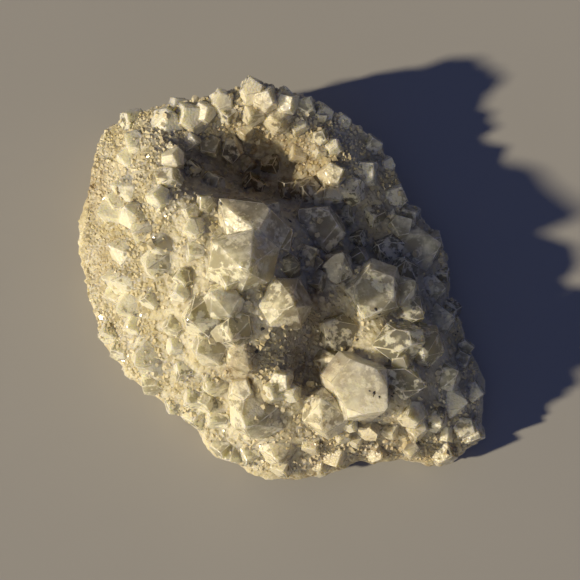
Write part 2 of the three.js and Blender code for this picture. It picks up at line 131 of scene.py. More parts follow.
# The side under the edge, from the top down: share of the edge's height, share of the outline.
SIDE_ROWS = [(1, 0.965), (0.72, 0.995), (0.36, 0.985), (0.1, 0.955), (0, 0.9)]
SIDE_STEPS = 42
SIDE_BUMP = 0.03

# The side's own finish starts this far under the top, in mm, and covers all under the last height.
SIDE_STARTS = 1.5
SIDE_BLEND = 3
UNDERSIDE_TOP = 0.6

# How a crystal is cut, in shares of its width.
TIP_ANGLE = math.radians(51.8)
HEAD = 0.45
ROOT = 0.75
SMALL_FACE = 1.12
THREE_FACED_WIDTH = 7
UNEVENNESS = 0.16

# Crystals listed one by one, in the order of CRYSTAL_COLUMNS. A short row leaves the last ones out.
# rise is how far a crystal's middle stands over the quartz, as a share of its width. It leans
# towards the direction lean by the angle tilt and turns about itself by roll, all in degrees.
# lead is how much its upper tip face outgrows the others, and stretch its length along lean.
CRYSTAL_COLUMNS = ("x", "y", "width", "rise", "lean", "tilt", "lead", "stretch", "roll", "look")
CRYSTALS = {
    "lower right": [
        (21.5, -30.5, 15, 0.2, -40, 42, 0.45, 0.06, 0, "milky"),
        (25.5, -17.5, 9.5, 0.22, 190, 62, 0, 0.2, 0, "clear"),
        (35, -19, 9, 0.3, -100, 24, 0, 0.1, 0, "clear"), (29, -21.5, 4.6, 0.6, 60, 12),
        (31.5, -27, 9, 0.2, -15, 56, 0, 0.2, 0, "clear"), (31.5, -34.5, 6.5, 0.2, 200, 20),
        (33.5, -38.5, 6.4, 0.3, -95, 40, 0, 0.25), (38.5, -36, 7, 0.18, -50, 30, 0, 0, 0, "clear"),
        (42, -24.5, 8, 0.18, 20, 34), (44, -31, 8, 0.18, -10, 40, 0.2),
        (10.5, -32.5, 11, 0.32, 120, 18, 0.1), (15, -40, 4, 0.3, -120, 30), (18.5, -41, 4, 0.3, -80, 35),
        (17, -37, 3.8, 0.5, -60, 15), (22.5, -38.5, 4.8, 0.3, -90, 25), (27, -38.5, 4.8, 0.3, -70, 30),
        (32.5, -43.5, 4.6, 0.3, -90, 40), (46.5, -20, 5, 0.18, 20, 40), (47, -38, 6, 0.18, -30, 45)],
    "valley": [
        (12.5, -14, 10.5, 0.1, 150, 30, 0.3, 0, 0, "clear"), (12.5, -21.5, 8, 0.02, 30, 25),
        (14, 3, 8.5, 0.18, 60, 30, 0.2), (8.5, -2, 6, 0.05, -60, 25),
        (7, 13.5, 10.5, 0.05, 140, 50, 0.5)],
    "right flank": [
        (21.5, -7.5, 12.5, 0.18, -110, 44, 0.45), (31, -3.5, 9.5, 0.2, 35, 40, 0, 0.1),
        (33, -9.5, 8, 0.18, -30, 40, 0.2, 0, 0, "clear"), (36.5, 8, 12, 0.1, 10, 42, 0.3),
        (39.5, -2.5, 7, 0.18, 0, 40), (41, -10.5, 8.5, 0.18, 10, 42), (31.5, 14, 6.5, 0.18, 30, 40)],
    "upper right": [
        (18, 21, 6.6, 0.35, -60, 12, 0, 0, 0, "clear"), (14, 25.5, 6, 0.3, 20, 35),
        (6, 21.5, 7.5, 0.3, 160, 15, 0, 0, 0, "clear"), (12, 20.5, 6.5, 0.18, -140, 35, 0.3),
        (10, 35, 4, 0.3, 60, 15), (13.5, 32, 4, 0.3, -30, 20), (9.5, 31, 4, 0.2, -120, 20),
        (22, 27, 6.5, 0.18, 40, 35)],
    "pocket": [
        (16, 15.5, 6, 0.1, -40, 20), (23.5, 16, 6.2, 0.1, -100, 20, 0, 0, 0, "clear"),
        (19.5, 10, 5.5, 0.1, 60, 15, 0, 0, 0, "clear"), (26, 7.5, 8.8, 0.1, 160, 25, 0.2, 0, 0, "clear"),
        (25, 2, 5, 0.3, 80, 25)],
    "top ridge": [
        (-7, 45.5, 5.5, 0.3, 100, 40, 0, -0.15, 0, "milky"),
        (-3.5, 43, 6, 0.3, 60, 20, 0, 0, 0, "milky"), (2, 42, 5.5, 0.3, 30, 25, 0, 0, 0, "milky"),
        (6.5, 42.5, 5.2, 0.18, 60, 40), (-0.5, 37.5, 7, 0.3, -80, 22), (-7, 39, 6, 0.25, -120, 20),
        (-9, 36, 5.2, 0.2, -90, 40), (-13, 39, 5, 0.25, -90, 25),
        (-14.5, 43, 5.6, 0.2, 110, 25, 0, 0, 0, "milky"),
        (-18.5, 40, 5.4, 0.3, 20, 15, 0, 0, 0, "milky"),
        (-23, 39.5, 6.8, 0.25, 130, 22, 0, 0, 0, "milky")],
    "hollow": [
        (-12.5, 31, 6.5, 0.3, -85, 66, 0, 0.2, 0, "clear"), (-17.5, 32, 6, 0.2, -60, 45),
        (-2.5, 29, 5.5, 0.18, -60, 15, 0, 0, 0, "clear"),
        (-7.5, 24, 6.2, 0.2, 100, 20, 0, 0, 0, "clear"), (-16.5, 23.5, 6, 0.2, 20, 30),
        (1.5, 22.5, 6, 0.2, 140, 25, 0, 0, 0, "clear"), (4, 31, 5.5, 0.18, -140, 30)],
    "hollow's left edge": [
        (-26.5, 28, 5.6, 0.35, 60, 10), (-26.5, 22.5, 5.6, 0.3, -30, 12), (-22, 26, 5, 0.3, 0, 25),
        (-30, 18, 5.6, 0.25, 180, 20)],
    "mound": [
        (-10.5, 12.5, 14, 0.08, 138, 60, 0, 0.15, 30), (-8.5, 0.5, 16, 0.24, -70, 22, 0, -0.14),
        (-12, -3.5, 6.2, 0.6, -110, 35), (-18.5, 16.5, 4.4, 0.6, 140, 30),
        (-21.5, 9.5, 5, 0.4, 200, 38, 0, -0.2, 0, "milky"), (-22, 14, 4.4, 0.3, 160, 30),
        (-24, -2, 4.4, 0.5, 190, 30), (-24.5, -5.5, 5, 0.3, 200, 20), (-14.5, -7, 9, 0.3, 150, 26),
        (-20, -11.5, 9.4, 0.26, 200, 30), (-11, -15.5, 8, 0.25, -110, 28, 0, 0.15, 0, "clear"),
        (1.5, -8.5, 12, 0.26, -30, 16, 0.15), (-8.5, -22, 7.5, 0.2, -60, 30),
        (-18, -19, 9, 0.2, 210, 30, 0.2), (1, 8.5, 7.5, 0.1, 30, 45, 0.3),
        (2.5, 1, 7, 0.1, 0, 35, 0, 0, 0, "clear")],
    "lower edge": [
        (0.5, -26, 5.4, 0.4, 40, 20), (2.5, -29.5, 5, 0.35, -60, 20), (-2, -28.5, 5, 0.35, 160, 20),
        (-7, -35, 12.5, 0.2, -120, 26, 0.15, -0.08), (-9, -27.5, 6.4, 0.05, 60, 30),
        (-0.5, -43.5, 9, 0.12, -90, 32, 0.2), (-8, -44.5, 6.4, 0.12, -110, 36),
        (-16.5, -35, 6.8, 0.15, 230, 34), (8, -42, 5.5, 0.12, -60, 30)],
    "lower left": [
        (-22, -30.5, 6.4, 0.18, 220, 36), (-16.5, -27, 7.6, 0.18, 240, 34, 0.3),
        (-33.5, -20.5, 10.5, 0.14, 215, 36, 0.3, -0.1), (-26, -18, 4.8, 0.2, 230, 20),
        (-24, -24, 5.8, 0.1, 240, 30), (-37, -12.5, 5.4, 0.18, 200, 30), (-32, -6.5, 5.4, 0.18, 190, 25),
        (-26.5, -13, 5.4, 0.2, 200, 25)],
}

# The crystals scattered between those.
SCATTER_SEED = 1000
SCATTER_SPACING = 7.2
SCATTER_CELLS = 8
SCATTER_WIDTH = (5.6, 3.4)  # least width, and the most that is added to it
SCATTER_TILT = 24
SCATTER_RISE = (-0.06, 0.2)
CROWDING = 0.34

# The row of small crystals along the edge, which lean outwards.
EDGE_SEED = 5000
EDGE_COUNT = 34
EDGE_WIDTH = (4.2, 2.8)
EDGE_TILT = (20, 26)
EDGE_SWING = 40
EDGE_RISE = 0.02
EDGE_INSET = 0.42
EDGE_SCATTER = 0.7
SMOOTH_EDGE = (138, 194)  # the broken left edge has none between these directions

# Iron stain, and in the hollow painted shade that darkens it: x, y, how far it spreads, and its strength.
STAINS_AND_SHADE = [
    (9, 4, 5, 0.8), (8, -6, 5, 0.9), (7, -14, 4, 0.9), (8, -22, 5, 1), (7, -28, 3, 0.6),
    (-10, -24, 3.5, 0.9), (-8, -19, 3, 0.6), (-6, 29, 9, 1), (2, 25, 7, 0.8), (-17, 29, 6, 0.7),
    (-50, 24, 4, 0.8), (-44, 4, 4, 0.3), (10, -47, 9, 0.7), (26, -46, 9, 0.8), (40, -46, 7, 0.6),
    (22, 12, 6, 0.3), (-20, 24, 5, 0.5), (14, 16, 4, 0.4), (3, 29, 6, 0.8), (9, 24, 5, 0.7),
]

# Dark grains of another mineral: x, y, how far they spread, and how many.
GRAINS = [
    (-10.5, -11.6, 1.2, 3), (-5.6, -18.5, 1.5, 4), (-4.4, -13.3, 1, 2), (22.3, -28.4, 2, 5),
    (26.8, -28.9, 1.2, 3), (24, -9.1, 1.5, 3), (18.8, -15.1, 1, 2), (45, -12.1, 1.5, 4),
    (-14, 16, 1, 2), (2, 14, 1, 2),
]

# Where the finest crystals grow thickly: x, y, how far, and their density against the rest.
DRUSE_SPOTS = [
    (-42, 30, 12, 1), (-44, 12, 12, 1), (-42, -6, 12, 1), (-34, -16, 9, 0.8), (-32, 36, 10, 1),
    (-20, 43, 8, 1), (-6, 44, 8, 1), (8, 42, 8, 0.9), (10, 33, 7, 0.9), (16, 24, 7, 0.7),
    (14, -41, 7, 0.9), (24, -43, 7, 0.8), (-2, -23, 5, 0.9), (38, -42, 7, 0.8), (30, 30, 7, 0.6),
    (46, -30, 7, 0.7), (-20, -32, 7, 0.8), (-2, -46, 8, 0.6),
]


def chance(first, second):
    """A repeatable number from 0 to 1 for two whole numbers, the same as in the part's own source."""
    word = 0xFFFFFFFF
    mixed = ((first + 101) * 0x9E3779B1 & word) ^ ((second + 57) * 0x85EBCA77 & word)
    mixed = (mixed ^ (mixed >> 15)) * 0x2C1B3C6D & word
    mixed = (mixed ^ (mixed >> 12)) * 0x297A2D39 & word
    return ((mixed ^ (mixed >> 15)) & word) / (word + 1)


OUTLINE_ANGLES = [math.atan2(y, x) for x, y, _ in OUTLINE]
OUTLINE_REACHES = [math.hypot(x, y) for x, y, _ in OUTLINE]
HEIGHT_SPOTS = np.array(OUTLINE + [spot for group in RELIEF_SPOTS.values() for spot in group], float)


def outline_reach(angle):
    """The outline's distance from the middle in one direction, or in an array of them."""
    return np.interp(angle, OUTLINE_ANGLES, OUTLINE_REACHES, period=2 * math.pi)


def nearness(x, y, spots, softness):
    """How near each point is to each spot, from 0 far away to 1 on it."""
    across = np.atleast_1d(x)[:, None] - spots[None, :, 0]
    along = np.atleast_1d(y)[:, None] - spots[None, :, 1]
    return np.exp(-0.5 * (across ** 2 + along ** 2) / softness ** 2)


def relief(x, y):
    """The height of the quartz under the crystals."""
    weights = nearness(x, y, HEIGHT_SPOTS, RELIEF_SOFTNESS)
    return (weights * HEIGHT_SPOTS[None, :, 2]).sum(axis=1) / weights.sum(axis=1)


def relief_at(x, y):
    """The same height at one point, as a plain number."""
    return float(relief(x, y)[0])


def surface_direction(x, y):
    """The direction that the quartz under the crystals faces."""
    slope_x = (relief_at(x + SLOPE_STEP, y) - relief_at(x - SLOPE_STEP, y)) / (2 * SLOPE_STEP)
    slope_y = (relief_at(x, y + SLOPE_STEP) - relief_at(x, y - SLOPE_STEP)) / (2 * SLOPE_STEP)
    return Vector((-slope_x, -slope_y, 1)).normalized()


def marks(x, y, spots):
    """The strongest of the marks at each point, from rows of x, y, spread and strength."""
    rows = np.array(spots, float)
    return (nearness(x, y, rows, rows[None, :, 2]) * rows[None, :, 3]).max(axis=1)


def crystal_planes(crystal, seed):
    """One crystal's faces about its own middle, as normals and distances: six sides, tip and end."""
    width = crystal["width"]
    planes = [(Vector((0, 0, -1)), ROOT * width)]
    for side in range(6):
        angle = math.pi + side * math.pi / 3
        turned = angle + math.radians(crystal.get("roll", 0))
        uneven = 1 + UNEVENNESS * (chance(seed, side) - 0.5)
        shape = 1 + crystal.get("stretch", 0) * math.cos(2 * angle)
        planes.append((Vector((math.cos(turned), math.sin(turned), 0)), 0.5 * width * uneven * shape))
        if side % 2 == 1 and width < THREE_FACED_WIDTH:
            continue
        small = SMALL_FACE if side % 2 == 1 else 1
        grown = 1 - crystal.get("lead", 0) if side == 0 else 1
        uneven_tip = 1 + UNEVENNESS * (chance(seed, side + 6) - 0.5)
        flat = math.sin(TIP_ANGLE)
        normal = Vector((math.cos(turned) * flat, math.sin(turned) * flat, math.cos(TIP_ANGLE)))
        planes.append((normal, HEAD * width * math.cos(TIP_ANGLE) * small * grown * uneven_tip))
    return planes


def corners_of(planes):
    """The corners where three of a crystal's faces meet."""
    corners = []
    tolerance = 1e-6
    count = len(planes)
    for a in range(count):
        for b in range(a + 1, count):
            for c in range(b + 1, count):
                (first, reach_a), (second, reach_b), (third, reach_c) = planes[a], planes[b], planes[c]
                cross = second.cross(third)
                volume = first.dot(cross)
                if abs(volume) < tolerance:
                    continue
                corner = cross * reach_a + third.cross(first) * reach_b + first.cross(second) * reach_c
                corner /= volume
                if all(normal.dot(corner) <= reach + tolerance for normal, reach in planes):
                    corners.append(corner)
    return corners


def crystal_place(crystal):
    """Where a crystal stands: its lean is a compass direction and its tilt is measured from upright."""
    height = relief_at(crystal["x"], crystal["y"]) + crystal["rise"] * crystal["width"]
    spot = Matrix.Translation((crystal["x"] + SEAT[0], crystal["y"] + SEAT[1], height))
    lean = Matrix.Rotation(math.radians(crystal["lean"]), 4, "Z")
    return spot @ lean @ Matrix.Rotation(math.radians(crystal["tilt"]), 4, "Y")


def crystal_mesh(name, planes, place, bevel, slot=0, edge_slot=0):
    """A closed crystal from its faces in millimetres. A bevel of 0 leaves its edges sharp."""
    mesh = bmesh.new()
    for corner in corners_of(planes):
        mesh.verts.new(place @ corner * MM)
    bmesh.ops.remove_doubles(mesh, verts=mesh.verts, dist=0.001 * MM)
    hull = bmesh.ops.convex_hull(mesh, input=mesh.verts)
    inside = [part for part in hull["geom_interior"] if isinstance(part, bmesh.types.BMVert)]
    bmesh.ops.delete(mesh, geom=inside, context="VERTS")
    bmesh.ops.dissolve_limit(mesh, angle_limit=0.01, verts=mesh.verts, edges=mesh.edges)
    for face in mesh.faces:
        face.material_index = slot
    if bevel:
        bmesh.ops.bevel(mesh, geom=list(mesh.edges), offset=bevel * MM, segments=1, affect="EDGES",
                        clamp_overlap=True, material=edge_slot)
    bmesh.ops.recalc_face_normals(mesh, faces=mesh.faces)
    bmesh.ops.triangulate(mesh, faces=mesh.faces)
    made = bpy.data.meshes.new(name)
    mesh.to_mesh(made)
    mesh.free()
    return made


def leaning_along(direction, lean, tilt):
    """The lean and tilt of a crystal that stands along a direction but is pushed a little aside."""
    swing = math.radians(lean)
    push = math.tan(math.radians(tilt))
    pushed = Vector((
        direction.x + math.cos(swing) * push, direction.y + math.sin(swing) * push, direction.z))
    pushed.normalize()
    return {
        "lean": math.degrees(math.atan2(pushed.y, pushed.x)),
        "tilt": math.degrees(math.acos(pushed.z)),
    }


def clear_of(others, x, y, width):
    """True where a crystal of this width would not crowd the others."""
    return all(
        math.hypot(other["x"] - x, other["y"] - y) > CROWDING * (other["width"] + width)
        for other in others
    )


def scattered_crystals(placed):
    """Crystals on a jittered grid, wherever the listed ones leave room."""
    scattered = []
    for column in range(-SCATTER_CELLS, SCATTER_CELLS + 1):
        for row in range(-SCATTER_CELLS, SCATTER_CELLS + 1):
            seed = SCATTER_SEED + column * 40 + row
            x = (column + chance(seed, 1) - 0.5) * SCATTER_SPACING
            y = (row + chance(seed, 2) - 0.5) * SCATTER_SPACING
            width = SCATTER_WIDTH[0] + SCATTER_WIDTH[1] * chance(seed, 3)
            inside = math.hypot(x, y) < outline_reach(math.atan2(y, x)) * EDGE_CLEARANCE - 0.5 * width
            if inside and clear_of(placed, x, y, width):
                away = (360 * chance(seed, 4), SCATTER_TILT * chance(seed, 5))
                own = leaning_along(surface_direction(x, y), *away)
                rise = SCATTER_RISE[0] + SCATTER_RISE[1] * chance(seed, 6)
                roll = 60 * chance(seed, 7)
                scattered.append(dict(x=x, y=y, width=width, rise=rise, roll=roll, seed=seed, **own))
    return scattered


def edge_crystals():
    """A row of small crystals round the edge, but not along the broken left side."""
    edge = []
    for step in range(EDGE_COUNT):
        seed = EDGE_SEED + step
        degrees = (step + EDGE_SCATTER * chance(seed, 1)) * 360 / EDGE_COUNT
        angle = math.radians(degrees)
        width = EDGE_WIDTH[0] + EDGE_WIDTH[1] * chance(seed, 2)
        reach = outline_reach(angle) - EDGE_INSET * width
        if SMOOTH_EDGE[0] <= degrees <= SMOOTH_EDGE[1]:
            continue
        edge.append(dict(
            x=math.cos(angle) * reach, y=math.sin(angle) * reach, width=width, rise=EDGE_RISE,
            lean=degrees + EDGE_SWING * (chance(seed, 4) - 0.5),
            tilt=EDGE_TILT[0] + EDGE_TILT[1] * chance(seed, 3),
            roll=60 * chance(seed, 5), seed=seed))
    return edge


def all_crystals():
    """Every crystal of the solid, each with the seed of its own unevenness."""
    rows = [row for group in CRYSTALS.values() for row in group]
    by_hand = [dict(zip(CRYSTAL_COLUMNS, row), seed=number) for number, row in enumerate(rows)]
    return by_hand + scattered_crystals(by_hand) + edge_crystals()


def ring_disc(rings):
    """Angles and shares of the way out for a disc of even rings, and its triangles."""
    angles = [0.0]
    shares = [0.0]
    for ring in range(1, rings + 1):
        steps = np.arange(6 * ring)
        angles.extend(2 * math.pi * steps / (6 * ring))
        shares.extend([ring / rings] * (6 * ring))
    faces = []
    for ring in range(rings):
        inner_start = 1 + 3 * ring * (ring - 1) if ring else 0
        outer_start = 1 + 3 * (ring + 1) * ring
        for sector in range(6):
            for step in range(ring + 1):
                inner = inner_start + ((sector * ring + step) % (6 * ring) if ring else 0)
                inner_next = inner_start + ((sector * ring + step + 1) % (6 * ring) if ring else 0)
                outer = sector * (ring + 1) + step
                outer_next = outer_start + (outer + 1) % (6 * (ring + 1))
                faces.append((inner, outer_start + outer, outer_next))
                if step < ring:
                    faces.append((inner, outer_next, inner_next))
    return np.array(angles), np.array(shares), np.array(faces)


def lumps(points, size, seed):
    """Smooth unevenness from -1 to 1 at points in millimetres, with lumps of this size."""
    shift = Vector((seed * 13.1, seed * 7.7, seed * 3.3))
    return np.array([noise.noise(Vector(point) / size + shift) for point in points])


def breaks(points, size, seed):
    """Flat-faced unevenness from 0 to 1, like a broken surface, with facets of this size."""
    shift = Vector((seed * 13.1, seed * 7.7, seed * 3.3))
    values = []
    for point in points:
        near = noise.voronoi(Vector(point) / size + shift)
        cell = near[1][0] - shift
        tilt = noise.cell_vector(near[1][0] * 7.3) - Vector((0.5, 0.5, 0.5))
        values.append(0.5 + tilt.dot(Vector(point) / size - cell) * 0.9 + 0.3 * tilt.z)
    return np.clip(np.array(values), 0, 1)


def ground_top(rings, lump_height):
    """The top of the quartz under the crystals, in millimetres."""
    angles, shares, faces = ring_disc(rings)
    reach = outline_reach(angles) * EDGE_CLEARANCE * shares
    x = np.cos(angles) * reach
    y = np.sin(angles) * reach
    points = np.column_stack([x, y, relief(x, y)])
    points[:, 2] += lump_height * (breaks(points, 3.4, 1) - 0.5)
    points[:, 2] += 0.4 * lump_height * lumps(points, 1.3, 2)
    return points, faces


def ground_side(rim, rows_between):
    """Rings from the rim down to the underside, in millimetres, without the rim itself."""
    steps = len(rim)
    turns = np.arange(steps) / steps
    angles = 2 * math.pi * turns
    reach = outline_reach(angles)
    edge = relief(np.cos(angles) * reach, np.sin(angles) * reach)
    rings = [rim]
    for row, (level, share) in enumerate(SIDE_ROWS[1:]):
        coarse = [SIDE_BUMP * (2 * chance(row + 40, step) - 1) for step in range(SIDE_STEPS)]
        bump = np.interp(turns, np.arange(SIDE_STEPS) / SIDE_STEPS, coarse, period=1)
        distance = reach * (share + bump)
        rings.append(np.column_stack([
            np.cos(angles) * distance, np.sin(angles) * distance, level * edge]))
    made = []
    for upper, lower in zip(rings, rings[1:]):
        for row in range(1, rows_between + 1):
            made.append(upper + (lower - upper) * row / rows_between)
    outward = np.column_stack([np.cos(angles), np.sin(angles), np.zeros(steps)])
    for row, ring in enumerate(made):
        low = (len(made) - 1 - row) / (len(made) - 1)
        depth = 1.6 * breaks(ring, 6, 3) + 0.7 * breaks(ring, 2.2, 4) + 0.3 * lumps(ring, 1.1, 5)
        ring -= outward * ((depth - 0.8) * min(1, 4 * low + 0.35))[:, None]
        ring[:, 2] = np.maximum(ring[:, 2], 0)
    return made


def ground_mesh(name, rings, lump_height):
    """The quartz that the crystals grew from: an uneven top, a broken side and a flat underside."""
    top, top_faces = ground_top(rings, lump_height)
    steps = 6 * rings
    rim_start = len(top) - steps
    side = ground_side(top[rim_start:], 8)
    angles, shares, under_faces = ring_disc(rings)
    under_reach = np.hypot(side[-1][:, 0], side[-1][:, 1])
    reach = np.interp(angles, 2 * math.pi * np.arange(steps) / steps, under_reach, period=2 * math.pi)
    under = np.column_stack([np.cos(angles) * reach * shares, np.sin(angles) * reach * shares,
                             np.zeros(len(angles))])
    under[:, 2] = 0.5 * np.maximum(0, lumps(under, 4, 6)) * np.clip(8 * (1 - shares), 0, 1)
    points = [top] + side[:-1] + [under]
    faces = [top_faces]
    above = rim_start + np.arange(steps)
    start = len(top)
    for row in range(len(side)):
        last = row == len(side) - 1
        below = (start + len(under) - steps if last else start) + np.arange(steps)
        faces.append(np.column_stack([above, below, np.roll(below, -1)]))
        faces.append(np.column_stack([above, np.roll(below, -1), np.roll(above, -1)]))
        if not last:
            above = below
            start += steps
    faces.append(under_faces[:, ::-1] + start)
    mesh = bpy.data.meshes.new(name)
    mesh.from_pydata((np.vstack(points) + np.array(SEAT)) * MM, [], np.vstack(faces).tolist())
    mesh.update()
    return mesh


def points_of(mesh):
    """A mesh's points in millimetres, in the lists' own place."""
    points = np.empty(len(mesh.vertices) * 3)
    mesh.vertices.foreach_get("co", points)
    return points.reshape(-1, 3) / MM - np.array(SEAT)


def set_attribute(mesh, name, values):
    """Writes one number for each point of a mesh."""
    layer = mesh.attributes.get(name) or mesh.attributes.new(name, "FLOAT", "POINT")
    layer.data.foreach_set("value", np.asarray(values, float))


def mark_places(mesh):
    """Writes the iron stain, with the painted shade of the hollow, and how frosted the quartz is at each
    point.
    """
    points = points_of(mesh)
    set_attribute(mesh, "stain", marks(points[:, 0], points[:, 1], STAINS_AND_SHADE))
    set_attribute(mesh, "frost", marks(points[:, 0], points[:, 1], DRUSE_SPOTS))


def way_out(points):
    """How far out each point lies, as a share of the way to the outline."""
    reach = outline_reach(np.arctan2(points[:, 1], points[:, 0]))
    return np.hypot(points[:, 0], points[:, 1]) / reach


def inside_any(points, crystals):
    """True for each point that a crystal covers."""
    covered = np.zeros(len(points), bool)
    for crystal in crystals:
        place = crystal_place(crystal).inverted()
        turn = np.array(place.to_3x3())
        own = (points + np.array(SEAT)) @ turn.T + np.array(place.translation)
        within = np.ones(len(points), bool)
        for normal, reach in crystal_planes(crystal, crystal["seed"]):
            within &= own @ np.array(normal) < reach
        covered |= within
    return covered


def add_node(tree, kind, settings=(), inputs=()):
    """Adds a node. Its settings are set first, and inputs hold values or output sockets."""
    node = tree.nodes.new(kind)
    for name, value in dict(settings).items():
        setattr(node, name, value)
    for name, value in dict(inputs).items():
        if isinstance(value, bpy.types.NodeSocket):
            tree.links.new(value, node.inputs[name])
        else:
            node.inputs[name].default_value = value
    return node


def new_tree(name, inputs):
    """A geometry tree with named inputs, and its group input and output nodes."""
    tree = bpy.data.node_groups.new(name, "GeometryNodeTree")
    tree.interface.new_socket("Geometry", in_out="OUTPUT", socket_type="NodeSocketGeometry")
    for socket_name, kind in inputs.items():
        tree.interface.new_socket(socket_name, in_out="INPUT", socket_type=kind)
    return tree, tree.nodes.new("NodeGroupInput"), tree.nodes.new("NodeGroupOutput")


def grow_tree():
    """Crystals that grow on a surface: points on it, with leaning crystals of many sizes on them."""
    tree, given, made = new_tree("Grown crystals", {
        "Surface": "NodeSocketGeometry", "Crystals": "NodeSocketCollection",
        "Spacing": "NodeSocketFloat", "Least size": "NodeSocketFloat", "Added size": "NodeSocketFloat",
        "Lean": "NodeSocketFloat", "Sink": "NodeSocketFloat", "Seed": "NodeSocketInt",
        "Finish": "NodeSocketMaterial"})
    given = given.outputs
    density = add_node(tree, "GeometryNodeInputNamedAttribute", {"data_type": "FLOAT"}, {"Name": "open"})
    points = add_node(tree, "GeometryNodeDistributePointsOnFaces", {"distribute_method": "POISSON"}, {
        "Mesh": given["Surface"], "Distance Min": given["Spacing"], "Density Max": 4e6,
        "Density Factor": density.outputs[0], "Seed": given["Seed"]})
    swing = add_node(tree, "FunctionNodeRandomValue", {"data_type": "FLOAT_VECTOR"}, {
        "Min": (-1, -1, -math.pi), "Max": (1, 1, math.pi), "Seed": given["Seed"]})
    lean = add_node(tree, "ShaderNodeCombineXYZ", (), {0: given["Lean"], 1: given["Lean"], 2: 1.0})
    turn = add_node(tree, "ShaderNodeVectorMath", {"operation": "MULTIPLY"}, {
        0: swing.outputs[0], 1: lean.outputs[0]})
    turn = add_node(tree, "FunctionNodeEulerToRotation", (), {0: turn.outputs[0]})
    turn = add_node(tree, "FunctionNodeRotateRotation", {"rotation_space": "LOCAL"}, {
        "Rotation": points.outputs["Rotation"], "Rotate By": turn.outputs[0]})
    spread = add_node(tree, "FunctionNodeRandomValue", {"data_type": "FLOAT"}, {
        "Min": 0.0, "Max": 1.0, "Seed": given["Seed"]})
    spread = add_node(tree, "ShaderNodeMath", {"operation": "POWER"}, {0: spread.outputs[1], 1: 2.2})
    size = add_node(tree, "ShaderNodeMath", {"operation": "MULTIPLY_ADD"}, {
        0: spread.outputs[0], 1: given["Added size"], 2: given["Least size"]})
    crystals = add_node(tree, "GeometryNodeCollectionInfo", (), {
        "Collection": given["Crystals"], "Separate Children": True, "Reset Children": True})
    placed = add_node(tree, "GeometryNodeInstanceOnPoints", (), {
        "Points": points.outputs["Points"], "Instance": crystals.outputs[0], "Pick Instance": True,
        "Rotation": turn.outputs[0], "Scale": size.outputs[0]})
    sunk = add_node(tree, "GeometryNodeTranslateInstances", (), {
        "Instances": placed.outputs[0], "Local Space": True})
    down = add_node(tree, "ShaderNodeCombineXYZ", (), {2: given["Sink"]})
    tree.links.new(down.outputs[0], sunk.inputs["Translation"])
    real = add_node(tree, "GeometryNodeRealizeInstances", (), {0: sunk.outputs[0]})
    flat = add_node(tree, "GeometryNodeSetShadeSmooth", (), {0: real.outputs[0], "Shade Smooth": False})
    done = add_node(tree, "GeometryNodeSetMaterial", (), {
        0: flat.outputs[0], "Material": given["Finish"]})
    tree.links.new(done.outputs[0], made.inputs[0])
    return tree


def fuse_tree():
    """Joins every crystal of a collection into one closed skin."""
    tree, given, made = new_tree("Fused crystals", {"Crystals": "NodeSocketCollection"})
    crystals = add_node(tree, "GeometryNodeCollectionInfo", (), {
        "Collection": given.outputs["Crystals"], "Separate Children": True})
    union = add_node(tree, "GeometryNodeMeshBoolean", {"operation": "UNION", "solver": "MANIFOLD"}, {
        "Mesh 2": crystals.outputs[0]})
    real = add_node(tree, "GeometryNodeRealizeInstances", (), {0: union.outputs[0]})
    tree.links.new(real.outputs[0], made.inputs[0])
    return tree


def shape_by_nodes(name, tree, values, surface=None):
    """The mesh that a geometry tree makes with these inputs. The modifier is gone afterwards."""
    host = bpy.data.objects.new(name, surface.copy() if surface else bpy.data.meshes.new(name))
    bpy.context.scene.collection.objects.link(host)
    modifier = host.modifiers.new(name, "NODES")
    modifier.node_group = tree
    sockets = {item.name: item.identifier for item in tree.interface.items_tree if item.in_out == "INPUT"}
    for socket_name, value in values.items():
        modifier[sockets[socket_name]] = value
    drawn = host.evaluated_get(bpy.context.evaluated_depsgraph_get())
    mesh = bpy.data.meshes.new_from_object(drawn)
    bpy.data.objects.remove(host)
    mesh.name = name
    if not mesh.polygons:
        raise RuntimeError(f"{name} came out empty")
    return mesh


def collection_of(name, meshes):
    """A collection that holds one object for each mesh, for a geometry tree to read."""
    group = bpy.data.collections.new(name)
    bpy.context.scene.collection.children.link(group)
    for mesh in meshes:
        group.objects.link(bpy.data.objects.new(mesh.name, mesh))
    return group


def drop_collection(group):
    """Removes a collection and its objects once a tree has read them."""
    for thing in list(group.objects):
        bpy.data.objects.remove(thing)
    bpy.data.collections.remove(group)


def keep_inside(mesh):
    """Draws in the points that stand out of the part's box."""
    low, high = (np.array(corner) / MM for corner in CAD_BOX)
    low[:2] += BOX_CLEARANCE
    points = np.clip(points_of(mesh) + np.array(SEAT), low, high - BOX_CLEARANCE) * MM
    mesh.vertices.foreach_set("co", points.astype(np.float32).ravel())
    mesh.update()


def finish_piece(name, mesh, materials):
    """Makes a mesh a piece of the cluster."""
    keep_inside(mesh)
    if materials:
        mesh.materials.clear()
        for material in materials:
            mesh.materials.append(material)
    piece = bpy.data.objects.new(name, mesh)
    bpy.context.scene.collection.objects.link(piece)
    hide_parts("quartz_cluster")
    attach(piece, "root")
    CrystalStore.pieces.append(piece.name)


# How light goes through quartz: its refractive index, and how far red, green and blue reach.
QUARTZ_IOR = 1.544
CRYSTAL_REACH = (1.0, 0.95, 0.6)
EDGE_REACH = (1.0, 0.95, 0.65)
GROUND_REACH = (1.0, 0.92, 0.55)

# The depths that light sinks to, in mm.
CRYSTAL_DEPTH = 6
SMALL_CRYSTAL_DEPTH = 0.9
FROST_DEPTH = 0.3  # as a share of the crystal's own
EDGE_DEPTH = 2
GROUND_DEPTH = 5
DRUSE_DEPTH = 0.3


